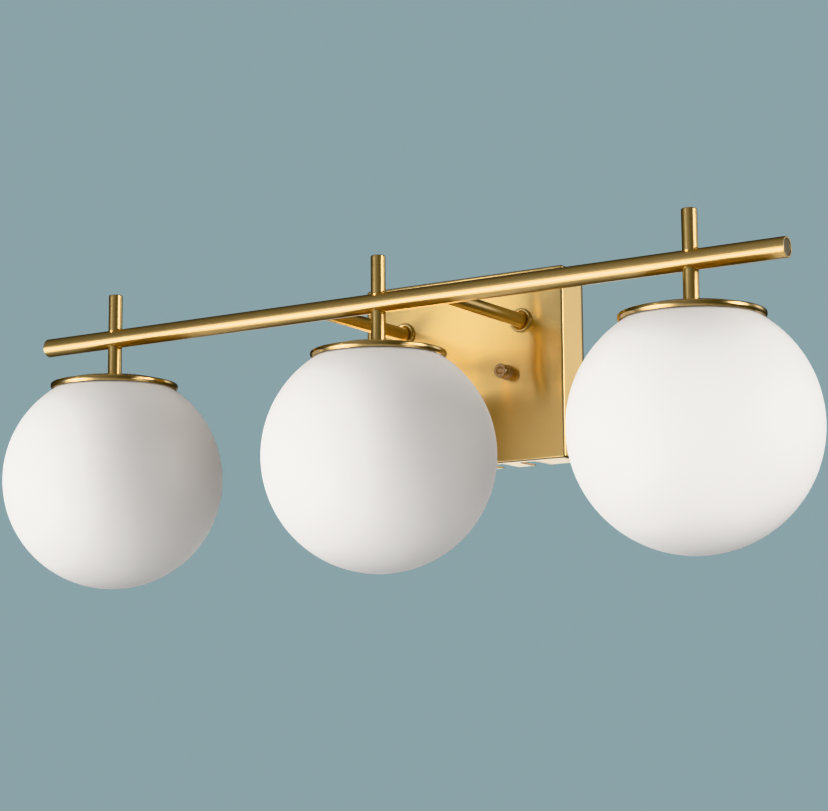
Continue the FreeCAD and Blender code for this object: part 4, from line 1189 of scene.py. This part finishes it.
    def build_globe(self) -> None:
        """Builds the blown globe with its ground mouth, and the collar bonded in it."""
        body = self.named("globe")
        _, low, high, radius = self.ends("globe")
        inner, ball, mouth = radius - self.glass_wall, low.z + radius, high.z
        outer_end, inner_end = (math.acos((mouth - ball) / size) for size in (radius, inner))
        outside = Profile.arc(radius, ball, math.pi, outer_end + self.lip_angle, 128)
        inside = Profile.arc(inner, ball, inner_end + self.lip_angle, math.pi, 96)
        lip = Profile.softened((outside.points[-1], (radius * math.sin(outer_end), mouth),
                                (inner * math.sin(inner_end), mouth), inside.points[0]),
                               (0.0, 0.5 * MM, 0.5 * MM, 0.0))
        self.spin("opal_globe", "globe", outside.then(lip).then(inside), OPAL, 176, False, body)
        _, low, high, radius = self.ends("globe_collar")
        skirt = self.mouth_radius - 0.4 * MM
        bore, flange = skirt - self.collar_wall, high.z - self.collar_sheet
        section = Profile.softened(((bore, low.z), (skirt, low.z), (skirt, flange),
                                    (radius, flange), (radius, high.z), (bore, high.z)),
                                   (0.2 * MM, 0.3 * MM, 0.2 * MM, 0.2 * MM, 0.3 * MM, 0.4 * MM),
                                   ring=True)
        self.spin("aluminium_collar", "globe_collar", section, TURNED_ALUMINIUM, 112, body=body)


@dataclass
class WireConnectors:
    """The two twist-on connectors: fluted cones."""

    flutes: int = 12
    flute_depth: float = 0.054
    columns: int = 96

    def build(self) -> None:
        """Builds both, closed at their mouths round the wires.

        The radius at height h and angle a is r(h) (1 - d m(h) (1 + cos(n a))), where m is 1 along
        the fluted middle and 0 at both ends.
        """
        low, high = map(Vector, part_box("wire_connectors"))
        centre = (low + high) / 2
        radius, length = (high.y - low.y) / 2, high.z - low.z
        section = Profile.softened(((0.0, 0.0), (radius, 0.0), (radius, length * 0.35),
                                    (radius * 0.72, length), (0.0, length)),
                                   (0.0, 0.4 * MM, 3 * MM, 1.6 * MM, 0.0)).finer(0.7 * MM)
        share = section.points[:, 1:] / length
        band = np.clip((share - 0.08) / 0.1, 0, 1) * np.clip((0.92 - share) / 0.15, 0, 1)
        angle = np.arange(self.columns) * (2 * np.pi / self.columns)
        fluting = 1 - self.flute_depth * band * (1 + np.cos(self.flutes * angle))
        half = (high.x - low.x) / 2 - radius
        skins = [turned(section, (centre.x + side.value * half, centre.y, low.z),
                        columns=self.columns, fluting=fluting) for side in Side]
        put("twist_connectors", skins, CONNECTOR_SHELL, FIXTURE, ["wire_connectors"])


@dataclass
class Hardware:
    """CAD nodes whose shape is right, which only get their finishes."""

    finishes: dict[str, Finish] = field(default_factory=lambda: {
        "mounting_crossbar": ZINC, "stud_lock_nuts": ZINC, "arm_lock_washers": ZINC,
        "arm_lock_nuts": ZINC, "cap_lock_nuts": ZINC, "mounting_studs": ZINC_STUDS,
        "arm_nipples": ZINC_STUDS,
        "stem_nipples": ZINC_NIPPLES, "ground_terminals": EARTH_SCREW, "ground_lead": EARTH_COVER,
        "centre_contacts": PLAIN_CONTACT, "cap_gaskets": SILICONE, "lead_wires_left": LEAD_COVER,
        "lead_wires_centre": LEAD_COVER, "lead_wires_right": LEAD_COVER})

    def build(self) -> None:
        """Puts each node's finish in its material slots."""
        for node, finish in self.finishes.items():
            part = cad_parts[node]
            for slot in part.material_slots:
                slot.link = "DATA"
                slot.material = finish.material()
            if not part.material_slots:
                part.data.materials.append(finish.material())
            LOG.info("%s dressed in %s", node, finish.name)


# ------------------------------------------------------------------ studio

@dataclass(frozen=True)
class SoftLight:
    """One soft light in the studio's surround: where it stands, how bright and how tight it is.

    A narrowing above 0 makes it an upright strip. A lower edge cuts it off below that elevation.
    """

    azimuth: float
    elevation: float
    strength: float
    tightness: float
    narrowing: float = 0.0
    lower_edge: Optional[float] = None
    edge_blur: float = 1.2

    @property
    def side(self) -> tuple[float, float, float]:
        """The level direction square to the way to the light."""
        turn = math.radians(self.azimuth)
        return (math.cos(turn), math.sin(turn), 0.0)

    @property
    def direction(self) -> tuple[float, float, float]:
        """The way to the light. Azimuth 0 is the room side, and 90 the bar's right end."""
        turn, lift = math.radians(self.azimuth), math.radians(self.elevation)
        return (math.sin(turn) * math.cos(lift), -math.cos(turn) * math.cos(lift), math.sin(lift))


@dataclass(frozen=True)
class SoftPanel:
    """A big soft panel that lights matt surfaces but isn't mirrored in glossy ones."""

    azimuth: float
    elevation: float
    power: float
    size: float = 1.6
    distance: float = 2.2

    def build(self) -> None:
        """Puts the panel in place, facing the object."""
        light = bpy.data.lights.new("studio_panel", "AREA")
        light.energy, light.shape, light.size = self.power, "SQUARE", self.size
        panel = bpy.data.objects.new("studio_panel", light)
        toward = Vector(SoftLight(self.azimuth, self.elevation, 0.0, 1.0).direction)
        panel.location = toward * self.distance
        panel.rotation_euler = toward.to_track_quat("Z", "Y").to_euler()
        panel.visible_glossy = False
        bpy.context.scene.collection.objects.link(panel)


@dataclass
class Studio:
    """Soft surround light, a plain backdrop colour, a pale floor and the camera."""

    lights: tuple[SoftLight, ...] = (
        SoftLight(-34, -24, 10.0, 24.0),
        SoftLight(-31.6, 12, 3.2, 40.0, 3200.0, 10.2),
        SoftLight(101, 6, 12.0, 50.0),
        SoftLight(148, 10, 1.05, 36.0),
        SoftLight(-150, -9, 1.6, 90.0),
        SoftLight(0, 12, 0.15, 2.0),
        SoftLight(-15, 60, 0.2, 3.0),
        SoftLight(-30, -62, 0.35, 3.0),
    )
    panels: tuple[SoftPanel, ...] = (
        SoftPanel(-55, 10, 25.0),
        SoftPanel(100, -6, 24.0),
        SoftPanel(42, 6, 13.0),
        SoftPanel(-5, 55, 1.6, size=0.9, distance=1.2),
    )
    base: float = 0.05
    backdrop: Colour = (0.294, 0.404, 0.430)
    floor_level: float = -2.2
    floor_half: float = 6.0
    floor_roughness: float = 0.9
    floor_colour: Colour = (0.62, 0.66, 0.67)
    floor_glow: float = 0.8
    sensor: float = 36.0
    lens: float = 93.646
    shift: tuple[float, float] = (0.00254, 0.00428)
    camera_place: tuple[float, float, float] = (0.75099, -1.257793, -0.247677)
    camera_turn: tuple[float, float, float] = (32.79, 8.77, -0.39)

    def build(self) -> None:
        """Builds everything round the object."""
        self.build_surround()
        for panel in self.panels:
            panel.build()
        self.build_floor()
        self.build_camera()
        bpy.context.scene.view_settings.view_transform = "Khronos PBR Neutral"
        bpy.context.scene.view_settings.look = "None"

    def build_surround(self) -> None:
        """Builds the surround.

        Each light adds its strength times max(0, cos of the angle to it) to the power of its
        tightness. Camera rays see the plain backdrop instead.
        """
        world = bpy.data.worlds.new("studio_surround")
        world.use_nodes = True
        bench = Bench(world.node_tree)
        way = bench.node("TexCoord").outputs["Generated"]
        total: object = self.base
        for light in self.lights:
            toward = bench.math("MAXIMUM", bench.dot(way, light.direction), 0.0)
            lobe = bench.math("POWER", toward, light.tightness)
            if light.narrowing:
                off = bench.dot(way, light.side)
                fall = bench.math("MULTIPLY", bench.math("MULTIPLY", off, off), -light.narrowing)
                lobe = bench.math("MULTIPLY", lobe, bench.math("EXPONENT", fall))
            if light.lower_edge is not None:
                height = bench.node("SeparateXYZ", {0: way}).outputs["Z"]
                low, high = (math.sin(math.radians(light.lower_edge + blur))
                             for blur in (-light.edge_blur, light.edge_blur))
                cut = bench.node("MapRange", {0: height, 1: low, 2: high},
                                 interpolation_type="SMOOTHSTEP")
                lobe = bench.math("MULTIPLY", lobe, cut.outputs[0])
            total = bench.math("MULTIPLY_ADD", lobe, light.strength, total)
        lit = bench.node("Background", {"Color": (1.0, 1.0, 1.0, 1.0), "Strength": total})
        plain = bench.node("Background", {"Color": (*self.backdrop, 1.0), "Strength": 1.0})
        seen = bench.node("LightPath").outputs["Is Camera Ray"]
        mixed = bench.node("MixShader", {0: seen, 1: lit.outputs[0], 2: plain.outputs[0]})
        bench.node("OutputWorld", {"Surface": mixed.outputs[0]})
        bpy.context.scene.world = world

    def build_floor(self) -> None:
        """A plain pale floor well below the fixture."""
        corners = np.array([(-1, -1), (1, -1), (1, 1), (-1, 1)]) * self.floor_half
        points = np.column_stack([corners, np.full(4, self.floor_level)])
        mesh = bpy.data.meshes.new("studio_floor")
        mesh.from_pydata(points, [], [(0, 1, 2, 3)])
        material = bpy.data.materials.new("studio_floor")
        material.use_nodes = True
        bench = Bench(material.node_tree)
        colour = (*self.floor_colour, 1.0)
        shader = bench.fill(bench.node("BsdfPrincipled"), Base_Color=colour,
                            Roughness=self.floor_roughness,
                            Emission_Color=colour, Emission_Strength=self.floor_glow)
        bench.node("OutputMaterial", {"Surface": shader.outputs["BSDF"]})
        mesh.materials.append(material)
        floor = bpy.data.objects.new("studio_floor", mesh)
        bpy.context.scene.collection.objects.link(floor)
        floor.visible_diffuse = floor.visible_glossy = floor.visible_shadow = False

    def build_camera(self) -> None:
        """The camera, turned to the left of the wall's square view and a little up."""
        turn, lift, roll = (math.radians(value) for value in self.camera_turn)
        ahead = Vector((-math.sin(turn) * math.cos(lift), math.cos(turn) * math.cos(lift),
                        math.sin(lift)))
        right = Vector((math.cos(turn), math.sin(turn), 0.0))
        up = right.cross(ahead)
        rolled_right = math.cos(roll) * right + math.sin(roll) * up
        rolled_up = math.cos(roll) * up - math.sin(roll) * right
        camera = bpy.data.objects.new("studio_camera", bpy.data.cameras.new("studio_camera"))
        camera.data.sensor_width = self.sensor
        camera.data.lens = self.lens
        camera.data.shift_x, camera.data.shift_y = self.shift
        turned_matrix = Matrix((rolled_right, rolled_up, -ahead)).transposed().to_4x4()
        camera.matrix_world = Matrix.Translation(self.camera_place) @ turned_matrix
        bpy.context.scene.collection.objects.link(camera)
        bpy.context.scene.camera = camera


def main() -> None:
    """Builds every sub-assembly in order, then the studio."""
    logging.basicConfig(level=logging.INFO, format="%(message)s")
    bar = MainBar()
    CanopyPan().build()
    bar.build()
    for side in Side:
        Arm(side, bar.radius).build()
        Finial(side).build()
    for place in LampPlace:
        Lamp(place, bar.radius).build()
    WireConnectors().build()
    Hardware().build()
    Studio().build()


if __name__ == "__main__":
    main()
